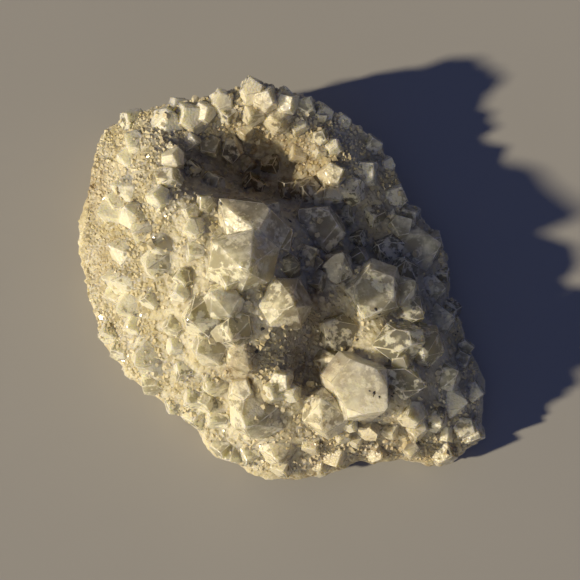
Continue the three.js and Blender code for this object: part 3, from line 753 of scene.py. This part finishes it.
class Signal:
    """A socket of a material's nodes. Maths written with it adds Math nodes."""

    def __init__(self, shader, socket):
        self.shader = shader
        self.socket = socket

    def maths(self, operation, first, second):
        """A Math node on two sockets or numbers."""
        return self.shader.node("ShaderNodeMath", {"operation": operation}, {0: first, 1: second})

    def __add__(self, other):
        return self.maths("ADD", self, other)

    def __mul__(self, other):
        return self.maths("MULTIPLY", self, other)

    __radd__ = __add__
    __rmul__ = __mul__


class Shader:
    """The nodes of one material."""

    def __init__(self, name):
        self.material = bpy.data.materials.new(name)
        self.material.use_nodes = True
        self.tree = self.material.node_tree
        self.tree.nodes.clear()
        self.place = self.node("ShaderNodeTexCoord", output="Object")

    def node(self, kind, settings=(), inputs=(), output=0):
        """Adds a node and gives one of its outputs."""
        node = self.tree.nodes.new(kind)
        for name, value in dict(settings).items():
            setattr(node, name, value)
        for name, value in dict(inputs).items():
            if isinstance(value, Signal):
                self.tree.links.new(value.socket, node.inputs[name])
            else:
                node.inputs[name].default_value = value
        return Signal(self, node.outputs[output])

    def cloud(self, size, detail=3.0, shift=0.0):
        """Soft unevenness from 0 to 1 whose patches are this many millimetres across."""
        moved = self.node("ShaderNodeMapping", (), {
            "Vector": self.place, "Location": (shift, shift, -shift)})
        return self.node("ShaderNodeTexNoise", (), {
            "Vector": moved, "Scale": 1 / (size * MM), "Detail": detail, "Roughness": 0.55})

    def cells(self, size):
        """The distance from the middle of the nearest cell, for cells of this many millimetres."""
        return self.node("ShaderNodeTexVoronoi", {"feature": "F1"}, {
            "Vector": self.place, "Scale": 1 / (size * MM)}, "Distance")

    def between(self, value, low, high):
        """0 under low, 1 over high, and smooth between."""
        return self.node("ShaderNodeMapRange", {"interpolation_type": "SMOOTHSTEP"}, {
            "Value": value, "From Min": low, "From Max": high})

    def blend(self, share, first, second):
        """A colour between two."""
        return self.node("ShaderNodeMix", {"data_type": "RGBA"}, {0: share, 6: first, 7: second}, 2)

    def attribute(self, name):
        """A number that the mesh holds at each point."""
        return self.node("ShaderNodeAttribute", {"attribute_name": name}, output="Fac")

    def bump(self, height, depth, strength):
        """Unevenness of this many millimetres."""
        return self.node("ShaderNodeBump", (), {
            "Height": height, "Distance": depth * MM, "Strength": strength})

    def surface(self, values):
        """A Principled shader with these values."""
        return self.node("ShaderNodeBsdfPrincipled", {"subsurface_method": "RANDOM_WALK"}, values)

    def quartz(self, depth, values):
        """A Principled shader of quartz that light sinks into by this many millimetres."""
        return self.surface({
            "IOR": QUARTZ_IOR, "Subsurface Weight": 1.0, "Subsurface Radius": CRYSTAL_REACH,
            "Subsurface Scale": depth * MM, **values})

    def done(self, surface, volume=None):
        """Joins the finished shaders to the output and gives the material."""
        output = self.tree.nodes.new("ShaderNodeOutputMaterial")
        self.tree.links.new(surface.socket, output.inputs["Surface"])
        if volume:
            self.tree.links.new(volume.socket, output.inputs["Volume"])
        return self.material


def solid_colour(colour):
    """A colour with full alpha, as a colour socket holds it."""
    return (*colour[:3], 1.0)


def quartz_colour(shader, pale, deep, stain):
    """Quartz between two shades in soft patches, browned by iron stain and, in the hollow, by painted
    shade.
    """
    clouds = shader.between(shader.cloud(7, 4), 0.34, 0.66)
    colour = shader.blend(clouds, solid_colour(pale), solid_colour(deep))
    patches = shader.between(shader.cloud(2.2, 5, 3.0), 0.36, 0.66)
    share = shader.attribute("stain") * (0.35 + 0.65 * patches)
    return shader.blend(share, colour, solid_colour(stain))


def painted_gap_shade(shader):
    """Painted shade in the gaps between grains of druse: 0 on a grain and 1 between."""
    gaps = shader.between(shader.cloud(0.75, 3, 21.0), 0.42, 0.62)
    drifts = shader.between(shader.cloud(6, 3, 31.0), 0.3, 0.75)
    return gaps * (0.4 + 0.6 * drifts)


def druse_finish(colours):
    """Fine crystals: bright faces that glitter, with painted shade between the grains."""
    shader = Shader("druse")
    fine = shader.cloud(0.4, 3)
    colour = quartz_colour(shader, colours.pale, colours.cream, colours.stain)
    return shader.done(shader.quartz(DRUSE_DEPTH, {
        # Painted shade between the grains darkens the colour here.
        "Base Color": shader.blend(0.55 * painted_gap_shade(shader), colour, solid_colour(colours.dark)),
        "Roughness": 0.06 + 0.26 * shader.between(fine, 0.4, 0.7),
        "Subsurface Weight": 0.5,
        "Subsurface Radius": GROUND_REACH,
        "Normal": shader.bump(fine, 0.05, 0.4),
    }))


def glassy_finish(name, colours, pale, deep, clearness, veil, density, depth=CRYSTAL_DEPTH):
    """Clear to milky crystal: glass with milky veils, wisps and frosted patches in it.

    clearness is how much light goes straight through, veil how much of it is veiled, density
    how strongly it tints what goes through, and depth how far light sinks in, in mm.
    """
    shader = Shader(name)
    patches = shader.cloud(5, 6, 9.0) + 0.2 * shader.attribute("frost")
    frost = shader.between(patches, 0.46, 0.64)
    wisps = shader.between(0.45 * shader.cloud(1.6, 9, 41.0) + 0.55 * patches, 0.49, 0.57)
    waves = shader.cloud(1.4, 3, 5.0) + shader.cloud(5, 2, 51.0)
    normal = shader.bump(0.35 * waves + frost * shader.cells(0.6), 0.2, 0.8)
    colour = quartz_colour(shader, pale, deep, colours.stain)
    bright = shader.blend(shader.attribute("stain"), solid_colour(colours.frost), colour)
    # Painted shade between grains, darkening the frosted colour.
    bright = shader.blend(0.25 * painted_gap_shade(shader), bright, solid_colour(colours.dark))
    glass = shader.quartz(depth, {
        "Base Color": colour,
        "Roughness": 0.04 + 0.22 * frost,
        "Transmission Weight": clearness,
        "Normal": normal,
    })
    milk = shader.quartz(FROST_DEPTH * depth, {
        "Base Color": bright,
        "Roughness": 0.1 + 0.22 * frost,
        "Coat Weight": 0.4 * wisps,
        "Coat Roughness": 0.05,
        "Normal": normal,
    })
    veils = shader.between(shader.cloud(4.5, 6, 14.0), 0.62 - veil, 0.9 - veil)
    veils = veils.maths("MAXIMUM", veils, 0.9 * wisps)
    mixed = shader.node("ShaderNodeMixShader", (), {0: veils, 1: glass, 2: milk})
    tint = shader.node("ShaderNodeVolumeAbsorption", (), {
        "Color": solid_colour(colours.depth), "Density": density})
    return shader.done(mixed, tint)


def edge_finish(colours):
    """The edges between two crystal faces, with a painted highlight in patches along them."""
    shader = Shader("bright edges")
    # Patches of the edges that carry the painted highlight.
    edge_highlight_patches = shader.between(shader.cloud(1.6, 4), 0.44, 0.68)
    edge_own_colour = quartz_colour(shader, colours.milky, colours.pale, colours.stain)
    stain_and_shade_share = 0.6 * shader.attribute("stain")
    bright = shader.blend(stain_and_shade_share, solid_colour(colours.edge), solid_colour(colours.stain))
    shared = {"Roughness": 0.08 + 0.2 * edge_highlight_patches, "Subsurface Radius": EDGE_REACH}
    faint = shader.quartz(EDGE_DEPTH, {"Base Color": edge_own_colour, "Transmission Weight": 0.25, **shared})
    milk = shader.quartz(EDGE_DEPTH, {"Base Color": bright, **shared})
    return shader.done(shader.node("ShaderNodeMixShader", (), {0: edge_highlight_patches, 1: faint, 2: milk}))


def grain_finish(colours):
    """Dark grains of another mineral."""
    shader = Shader("dark mineral")
    shade = shader.blend(shader.between(shader.cloud(0.6), 0.3, 0.7),
                         solid_colour(colours.grain), solid_colour([2.2 * part for part in colours.grain]))
    return shader.done(shader.surface({
        "Base Color": shade, "Roughness": 0.35 + 0.3 * shader.cloud(0.3), "IOR": 1.9}))


def rind_colour(shader, colours):
    """Broken quartz with a brown rind, for the side and the underside."""
    patches = shader.between(shader.cloud(6, 5, 2.0), 0.38, 0.62)
    broken = shader.blend(patches, solid_colour(colours.broken), solid_colour(colours.rind))
    veins = shader.between(shader.cloud(3, 8, 17.0), 0.5, 0.62)
    return shader.blend(0.6 * veins, broken, solid_colour([0.6 * part for part in colours.rind]))


def ground_finish(colours):
    """Milky quartz above and broken quartz with a rind below."""
    shader = Shader("quartz ground")
    fine = shader.cloud(0.5, 4)
    above = quartz_colour(shader, colours.milky, colours.cream, colours.stain)
    # Painted shade between the grains of the top.
    above = shader.blend(0.45 * painted_gap_shade(shader), above, solid_colour(colours.dark))
    return shader.done(shader.quartz(GROUND_DEPTH, {
        "Base Color": shader.blend(shader.attribute("side"), above, rind_colour(shader, colours)),
        "Roughness": 0.35 + 0.3 * fine,
        "Subsurface Weight": 0.9,
        "Subsurface Radius": GROUND_REACH,
        "Normal": shader.bump(shader.cells(0.9) + 0.5 * fine, 0.3, 0.9),
    }))


def millimetres(name, about, value):
    """A size that a user can change."""
    return FloatProperty(name=name, description=about, default=value, min=0.0, precision=3)


def colour_of(name, about, value):
    """A colour that a user can change."""
    return FloatVectorProperty(
        name=name, description=about, default=value, size=3, min=0.0, max=1.0, subtype="COLOR")


class QuartzSizes(bpy.types.PropertyGroup):
    """Sizes of the ground, the crystals and the grains."""

    rings: IntProperty(name="Ground rings", description="Rings of faces across the top", default=88)
    lump_height: millimetres("Lumps", "Unevenness of the quartz under the crystals, in mm", 1.0)
    # The bevel is where the painted edge highlight goes.
    bevel: millimetres("Edge", "Width of the bright edge between two faces, in mm", 0.16)
    small_spacing: millimetres("Small crystals' spacing", "Least distance between them, in mm", 3.3)
    small_size: millimetres("Small crystals' size", "Least width, in mm", 2.3)
    small_spread: millimetres("Small crystals' spread", "The most that is added to it, in mm", 2.4)
    druse_spacing: millimetres("Druse spacing", "Least distance between fine crystals, in mm", 0.93)
    druse_size: millimetres("Druse size", "Least width of a fine crystal, in mm", 0.8)
    druse_spread: millimetres("Druse spread", "The most that is added to it, in mm", 0.9)
    grain_size: millimetres("Grain size", "Width of a dark grain, in mm", 0.9)
    seed: IntProperty(name="Seed", description="Order of the small crystals", default=7)


class QuartzColours(bpy.types.PropertyGroup):
    """Colours of the quartz, its stains and its grains, and of its painted shade and painted edge
    highlights.
    """

    pale: colour_of("Pale", "The whitest quartz", (0.77, 0.72, 0.58))
    milky: colour_of("Milky", "Milky quartz", (0.80, 0.75, 0.58))
    cream: colour_of("Cream", "Creamy quartz", (0.64, 0.57, 0.38))
    haze: colour_of("Haze", "Hazy crystal", (0.78, 0.74, 0.56))
    clear: colour_of("Clear", "Clear crystal", (0.80, 0.78, 0.66))
    frost: colour_of("Frost", "Frosted patches of a face", (0.96, 0.92, 0.77))
    # Colour of the painted highlight along the edges between faces.
    edge: colour_of("Edge", "Bright edges between faces", (0.97, 0.95, 0.88))
    # Colour of the painted shade between grains of druse.
    dark: colour_of("Between", "What shows between the grains of druse", (0.52, 0.47, 0.28))
    depth: colour_of("Depth", "What light keeps after a way through crystal", (0.88, 0.82, 0.62))
    # Colour of the iron stain, which in the hollow is also painted shade.
    stain: colour_of("Stain", "Iron stain", (0.31, 0.21, 0.11))
    broken: colour_of("Broken quartz", "Side where it broke", (0.62, 0.55, 0.42))
    rind: colour_of("Rind", "Brown rind of the side", (0.30, 0.22, 0.14))
    grain: colour_of("Grain", "Dark mineral grains", (0.02, 0.018, 0.016))


class QuartzStage(bpy.types.PropertyGroup):
    """The floor and the lights."""

    floor: colour_of("Floor", "Plain floor", (0.52, 0.52, 0.51))
    light_strength: FloatProperty(name="Light", description="Strength of the main light", default=3.4)
    light_height: FloatProperty(
        name="Light height", description="Angle of the main light over the floor",
        default=math.radians(26.5), subtype="ANGLE", unit="ROTATION")
    light_from: FloatProperty(
        name="Light direction", description="Direction that the main light comes from",
        default=math.radians(193), subtype="ANGLE", unit="ROTATION")
    light_width: FloatProperty(
        name="Light width", description="Angle that the main light spans, for soft shadows",
        default=math.radians(3), subtype="ANGLE", unit="ROTATION")
    light_colour: colour_of("Light colour", "Colour of the main light", (1.0, 0.85, 0.59))
    fill_strength: FloatProperty(name="Soft light", description="Strength of the soft light", default=1.1)
    fill_colour: colour_of("Soft light colour", "Colour of the soft light", (1.0, 0.90, 0.66))
    sky_strength: FloatProperty(name="Sky", description="Strength of the light all round", default=0.11)
    sky_colour: colour_of("Sky colour", "Colour of the light all round", (0.40, 0.48, 0.95))


class CrystalStore:
    """What one operator makes and a later one builds on: two meshes, and the names of all pieces."""

    ground = None
    crystals = None
    pieces = []


class QUARTZ_OT_ground(bpy.types.Operator):
    """Makes the quartz that the crystals grew from"""

    bl_idname = "quartz.ground"
    bl_label = "Quartz ground"

    def execute(self, context):
        sizes = context.scene.quartz_sizes
        mesh = ground_mesh("quartz_ground", sizes.rings, sizes.lump_height)
        points = points_of(mesh)
        mark_places(mesh)
        drop = relief(points[:, 0], points[:, 1]) - points[:, 2]
        side = np.clip((drop - SIDE_STARTS) / SIDE_BLEND, 0, 1)
        set_attribute(mesh, "side", np.where(points[:, 2] < UNDERSIDE_TOP, 1.0, side))
        CrystalStore.ground = mesh.copy()
        finish_piece("quartz_ground", mesh, [ground_finish(context.scene.quartz_colours)])
        return {"FINISHED"}


LOOKS = ["hazy", "clear", "milky"]

# Of the crystals without a look of their own, this share is milky on the left and clear anywhere.
MILKY_LEFT_OF = -22
MILKY_SHARE = 0.45
CLEAR_SHARE = 0.14


def look_of(crystal):
    """Hazy, clear or milky, as a number. Only the crystals on the left are milky by chance."""
    if "look" in crystal:
        return LOOKS.index(crystal["look"])
    luck = chance(crystal["seed"], 20)
    if crystal["x"] < MILKY_LEFT_OF and luck < MILKY_SHARE:
        return LOOKS.index("milky")
    return LOOKS.index("clear" if luck > 1 - CLEAR_SHARE else "hazy")


class QUARTZ_OT_crystals(bpy.types.Operator):
    """Makes the larger crystals, fused where they meet"""

    bl_idname = "quartz.crystals"
    bl_label = "Larger crystals"

    def execute(self, context):
        colours = context.scene.quartz_colours
        bevel = context.scene.quartz_sizes.bevel
        meshes = []
        for number, crystal in enumerate(all_crystals()):
            planes = crystal_planes(crystal, crystal["seed"])
            meshes.append(crystal_mesh(f"crystal {number}", planes, crystal_place(crystal), bevel,
                                       look_of(crystal), len(LOOKS)))
        finishes = [
            glassy_finish("hazy quartz", colours, colours.haze, colours.milky, 0.54, 0.18, 24),
            glassy_finish("clear quartz", colours, colours.clear, colours.haze, 0.78, 0.06, 18),
            glassy_finish("milky quartz", colours, colours.frost, colours.pale, 0.25, 0.2, 20),
            edge_finish(colours),
        ]
        for mesh in meshes:
            for finish in finishes:
                mesh.materials.append(finish)
        group = collection_of("crystals to fuse", meshes)
        fused = shape_by_nodes("crystals", fuse_tree(), {"Crystals": group})
        drop_collection(group)
        mark_places(fused)
        CrystalStore.crystals = fused.copy()
        finish_piece("crystals", fused, [])
        return {"FINISHED"}


# How small crystals and druse grow. They reach out to a share of the way to the outline, down to
# a height, and up a larger crystal by a height over its foot, all in mm. They lean by up to this
# angle, in radians, and sink into what they grow on.
SMALL_GROWTH = {"out": 0.93, "above": 6, "up": 0.8, "lean": 0.45, "sink": -0.5}
DRUSE_GROWTH = {"out": 0.975, "above": 3, "up": 1.0, "lean": 0.7, "sink": 0.05}
DRUSE_PLACE = 0.75  # how far druse takes the place of small crystals
DRUSE_GAIN = 1.3
DRUSE_LEAST = 0.3
FORM_SEED = 300
LOWEST_GROWTH = 1.2
COVERED_DEPTH = 0.4


def small_crystal_forms(name, count, faces_six):
    """A few crystal forms one millimetre wide, with their middles at the origin."""
    forms = []
    for number in range(count):
        width = 8 if faces_six else 5
        stretch = 0.16 * (chance(number, 40) - 0.5)
        crystal = dict(width=width, stretch=stretch, lead=0.3 * chance(number, 41))
        planes = crystal_planes(crystal, FORM_SEED + number)
        forms.append(crystal_mesh(f"{name} {number}", planes, Matrix.Scale(1 / width, 4), 0))
    return forms


def small_density(points):
    """How thickly small crystals grow: less where there is fine druse."""
    return np.clip(1 - DRUSE_PLACE * marks(points[:, 0], points[:, 1], DRUSE_SPOTS), 0, 1)


def druse_density(points):
    """How thickly druse grows: everywhere a little, and most on its spots."""
    return np.clip(marks(points[:, 0], points[:, 1], DRUSE_SPOTS) * DRUSE_GAIN, DRUSE_LEAST, 1)


def growing_surface(growth, density):
    """The ground and the larger crystals as one surface, with how thickly something grows there."""
    joined = bmesh.new()
    for mesh in (CrystalStore.ground, CrystalStore.crystals):
        copy = mesh.copy()
        points = points_of(copy)
        opened = density(points) * ((way_out(points) < growth["out"]) & (points[:, 2] > growth["above"]))
        if mesh == CrystalStore.crystals:
            height = points[:, 2] - relief(points[:, 0], points[:, 1])
            opened = opened * np.clip(1 - height / growth["up"], 0, 1)
        else:
            opened = opened * (points[:, 2] > LOWEST_GROWTH)
            opened = opened * ~inside_any(points + [0, 0, COVERED_DEPTH], all_crystals())
        set_attribute(copy, "open", opened)
        joined.from_mesh(copy)
    surface = bpy.data.meshes.new("growing surface")
    joined.to_mesh(surface)
    joined.free()
    return surface


def grow(name, growth, density, forms, sizes, seed, finish):
    """Makes a piece of many crystals. sizes are their spacing, least width and added width."""
    group = collection_of(f"forms of {name}", forms)
    mesh = shape_by_nodes(name, grow_tree(), {
        "Crystals": group, "Spacing": sizes[0] * MM, "Least size": sizes[1], "Added size": sizes[2],
        "Lean": growth["lean"], "Sink": growth["sink"] * MM, "Seed": seed, "Finish": finish},
        growing_surface(growth, density))
    drop_collection(group)
    mark_places(mesh)
    finish_piece(name, mesh, [finish])


class QUARTZ_OT_small_crystals(bpy.types.Operator):
    """Grows small crystals over the ground and the feet of the larger ones"""

    bl_idname = "quartz.small_crystals"
    bl_label = "Small crystals"

    def execute(self, context):
        settings = context.scene.quartz_sizes
        colours = context.scene.quartz_colours
        finish = glassy_finish("small crystals", colours, colours.milky, colours.cream, 0.2, 0.2, 30,
                               SMALL_CRYSTAL_DEPTH)
        sizes = (settings.small_spacing, settings.small_size, settings.small_spread)
        grow("small_crystals", SMALL_GROWTH, small_density, small_crystal_forms("small form", 5, True),
             sizes, settings.seed, finish)
        return {"FINISHED"}


class QUARTZ_OT_druse(bpy.types.Operator):
    """Grows the finest crystals where they glitter"""

    bl_idname = "quartz.druse"
    bl_label = "Fine druse"

    def execute(self, context):
        settings = context.scene.quartz_sizes
        sizes = (settings.druse_spacing, settings.druse_size, settings.druse_spread)
        grow("druse", DRUSE_GROWTH, druse_density, small_crystal_forms("fine form", 4, False),
             sizes, settings.seed + 1, druse_finish(context.scene.quartz_colours))
        return {"FINISHED"}


OVER_ALL = 60  # a height over the whole cluster, in mm


class QUARTZ_OT_grains(bpy.types.Operator):
    """Sets dark mineral grains in the quartz"""

    bl_idname = "quartz.grains"
    bl_label = "Dark grains"

    def execute(self, context):
        size = context.scene.quartz_sizes.grain_size
        skin = bmesh.new()
        skin.from_mesh(CrystalStore.ground)
        skin.from_mesh(CrystalStore.crystals)
        tree = BVHTree.FromBMesh(skin)
        skin.free()
        made = bmesh.new()
        for number, (x, y, around, count) in enumerate(GRAINS):
            for grain in range(count):
                seed = 40 * number + grain
                angle = 2 * math.pi * chance(seed, 50)
                away = around * chance(seed, 51) if grain else 0
                start = Vector((x + away * math.cos(angle), y + away * math.sin(angle), OVER_ALL))
                hit = tree.ray_cast(start * MM, Vector((0, 0, -1)))[0]
                if hit is None:
                    raise RuntimeError(f"grain {number} misses the cluster")
                width = size * (0.5 + 0.7 * chance(seed, 52))
                place = Matrix.Translation(hit) @ Matrix.Rotation(angle, 4, "Z") @ Matrix.Diagonal(
                    (width * MM, 0.7 * width * MM, 0.5 * width * MM, 1))
                lump = bmesh.ops.create_icosphere(made, subdivisions=2, radius=0.5)["verts"]
                for vert in lump:
                    vert.co *= 1 + 0.5 * noise.noise(vert.co * 3 + Vector((seed, 0, 0)))
                    vert.co = place @ vert.co
        mesh = bpy.data.meshes.new("dark_grains")
        made.to_mesh(mesh)
        made.free()
        finish_piece("dark_grains", mesh, [grain_finish(context.scene.quartz_colours)])
        return {"FINISHED"}


def sun_lamp(name, strength, width, colour, height, direction):
    """A far lamp at this height over the floor, from this direction. All angles are radians."""
    light = bpy.data.lights.new(name, "SUN")
    light.energy = strength
    light.angle = width
    light.color = colour
    lamp = bpy.data.objects.new(name, light)
    bpy.context.scene.collection.objects.link(lamp)
    towards = Vector((math.cos(direction) * math.cos(height), math.sin(direction) * math.cos(height),
                      math.sin(height)))
    lamp.rotation_euler = towards.to_track_quat("Z", "Y").to_euler()
    return lamp


# The camera looks down on the cluster, in metres and degrees.
CAMERA_TARGET = (0.0023, -0.0027, 0.020)
CAMERA_DISTANCE = 0.338
CAMERA_ELEVATION = 84
CAMERA_LENS = 84.9

# The soft light: the angle that it spans, its height over the floor and where it comes from.
SOFT_WIDTH = math.radians(50)
SOFT_HEIGHT = math.radians(33)
SOFT_FROM = math.radians(228)
FLOOR_SIZE = 3


class QUARTZ_OT_stage(bpy.types.Operator):
    """Makes the floor, the lights and the camera"""

    bl_idname = "quartz.stage"
    bl_label = "Floor, light and camera"

    def execute(self, context):
        stage = context.scene.quartz_stage
        bpy.ops.mesh.primitive_plane_add(size=FLOOR_SIZE)
        floor = context.object
        floor.name = "floor"
        shader = Shader("floor")
        uneven = shader.cloud(60, 2)
        pale = solid_colour(stage.floor)
        floor.data.materials.append(shader.done(shader.surface({
            "Base Color": shader.blend(uneven, pale, solid_colour([0.94 * part for part in stage.floor])),
            "Roughness": 0.75})))

        sun_lamp("main light", stage.light_strength, stage.light_width, stage.light_colour,
                 stage.light_height, stage.light_from)

        soft = sun_lamp("soft light", stage.fill_strength, SOFT_WIDTH, stage.fill_colour,
                        SOFT_HEIGHT, SOFT_FROM)
        reached = bpy.data.collections.new("reached by the soft light")
        for piece in context.scene.objects:
            if piece.name in CrystalStore.pieces:
                reached.objects.link(piece)
        soft.light_linking.receiver_collection = reached

        world = bpy.data.worlds.new("sky")
        world.use_nodes = True
        sky = world.node_tree.nodes["Background"]
        sky.inputs["Color"].default_value = solid_colour(stage.sky_colour)
        sky.inputs["Strength"].default_value = stage.sky_strength
        context.scene.world = world
        context.scene.view_settings.view_transform = "Standard"

        view = bpy.data.cameras.new("camera")
        view.sensor_width = 36
        view.lens = CAMERA_LENS
        view.clip_start = 0.01
        camera = bpy.data.objects.new("camera", view)
        context.scene.collection.objects.link(camera)
        rise = math.radians(CAMERA_ELEVATION)
        target = Vector(CAMERA_TARGET)
        camera.location = target + CAMERA_DISTANCE * Vector((0, -math.cos(rise), math.sin(rise)))
        camera.rotation_euler = (target - camera.location).to_track_quat("-Z", "Y").to_euler()
        context.scene.camera = camera
        return {"FINISHED"}


class QUARTZ_PT_cluster(bpy.types.Panel):
    """Lists the cluster's sizes, colours and steps"""

    bl_label = "Quartz cluster"
    bl_idname = "QUARTZ_PT_cluster"
    bl_space_type = "VIEW_3D"
    bl_region_type = "UI"
    bl_category = "Quartz"

    def draw(self, context):
        for group in GROUPS:
            settings = getattr(context.scene, group)
            for name in settings.__annotations__:
                self.layout.prop(settings, name)
        for step in STEPS:
            self.layout.operator(step.bl_idname)


STEPS = (
    QUARTZ_OT_ground, QUARTZ_OT_crystals, QUARTZ_OT_small_crystals,
    QUARTZ_OT_druse, QUARTZ_OT_grains, QUARTZ_OT_stage,
)
GROUPS = {"quartz_sizes": QuartzSizes, "quartz_colours": QuartzColours, "quartz_stage": QuartzStage}


def register():
    for made in (*GROUPS.values(), *STEPS, QUARTZ_PT_cluster):
        bpy.utils.register_class(made)
    for name, group in GROUPS.items():
        setattr(bpy.types.Scene, name, PointerProperty(type=group))


def unregister():
    for name in GROUPS:
        delattr(bpy.types.Scene, name)
    for made in reversed((*GROUPS.values(), *STEPS, QUARTZ_PT_cluster)):
        bpy.utils.unregister_class(made)


def main():
    register()
    bpy.ops.quartz.ground()
    bpy.ops.quartz.crystals()
    bpy.ops.quartz.small_crystals()
    bpy.ops.quartz.druse()
    bpy.ops.quartz.grains()
    bpy.ops.quartz.stage()


if __name__ == "__main__":
    main()
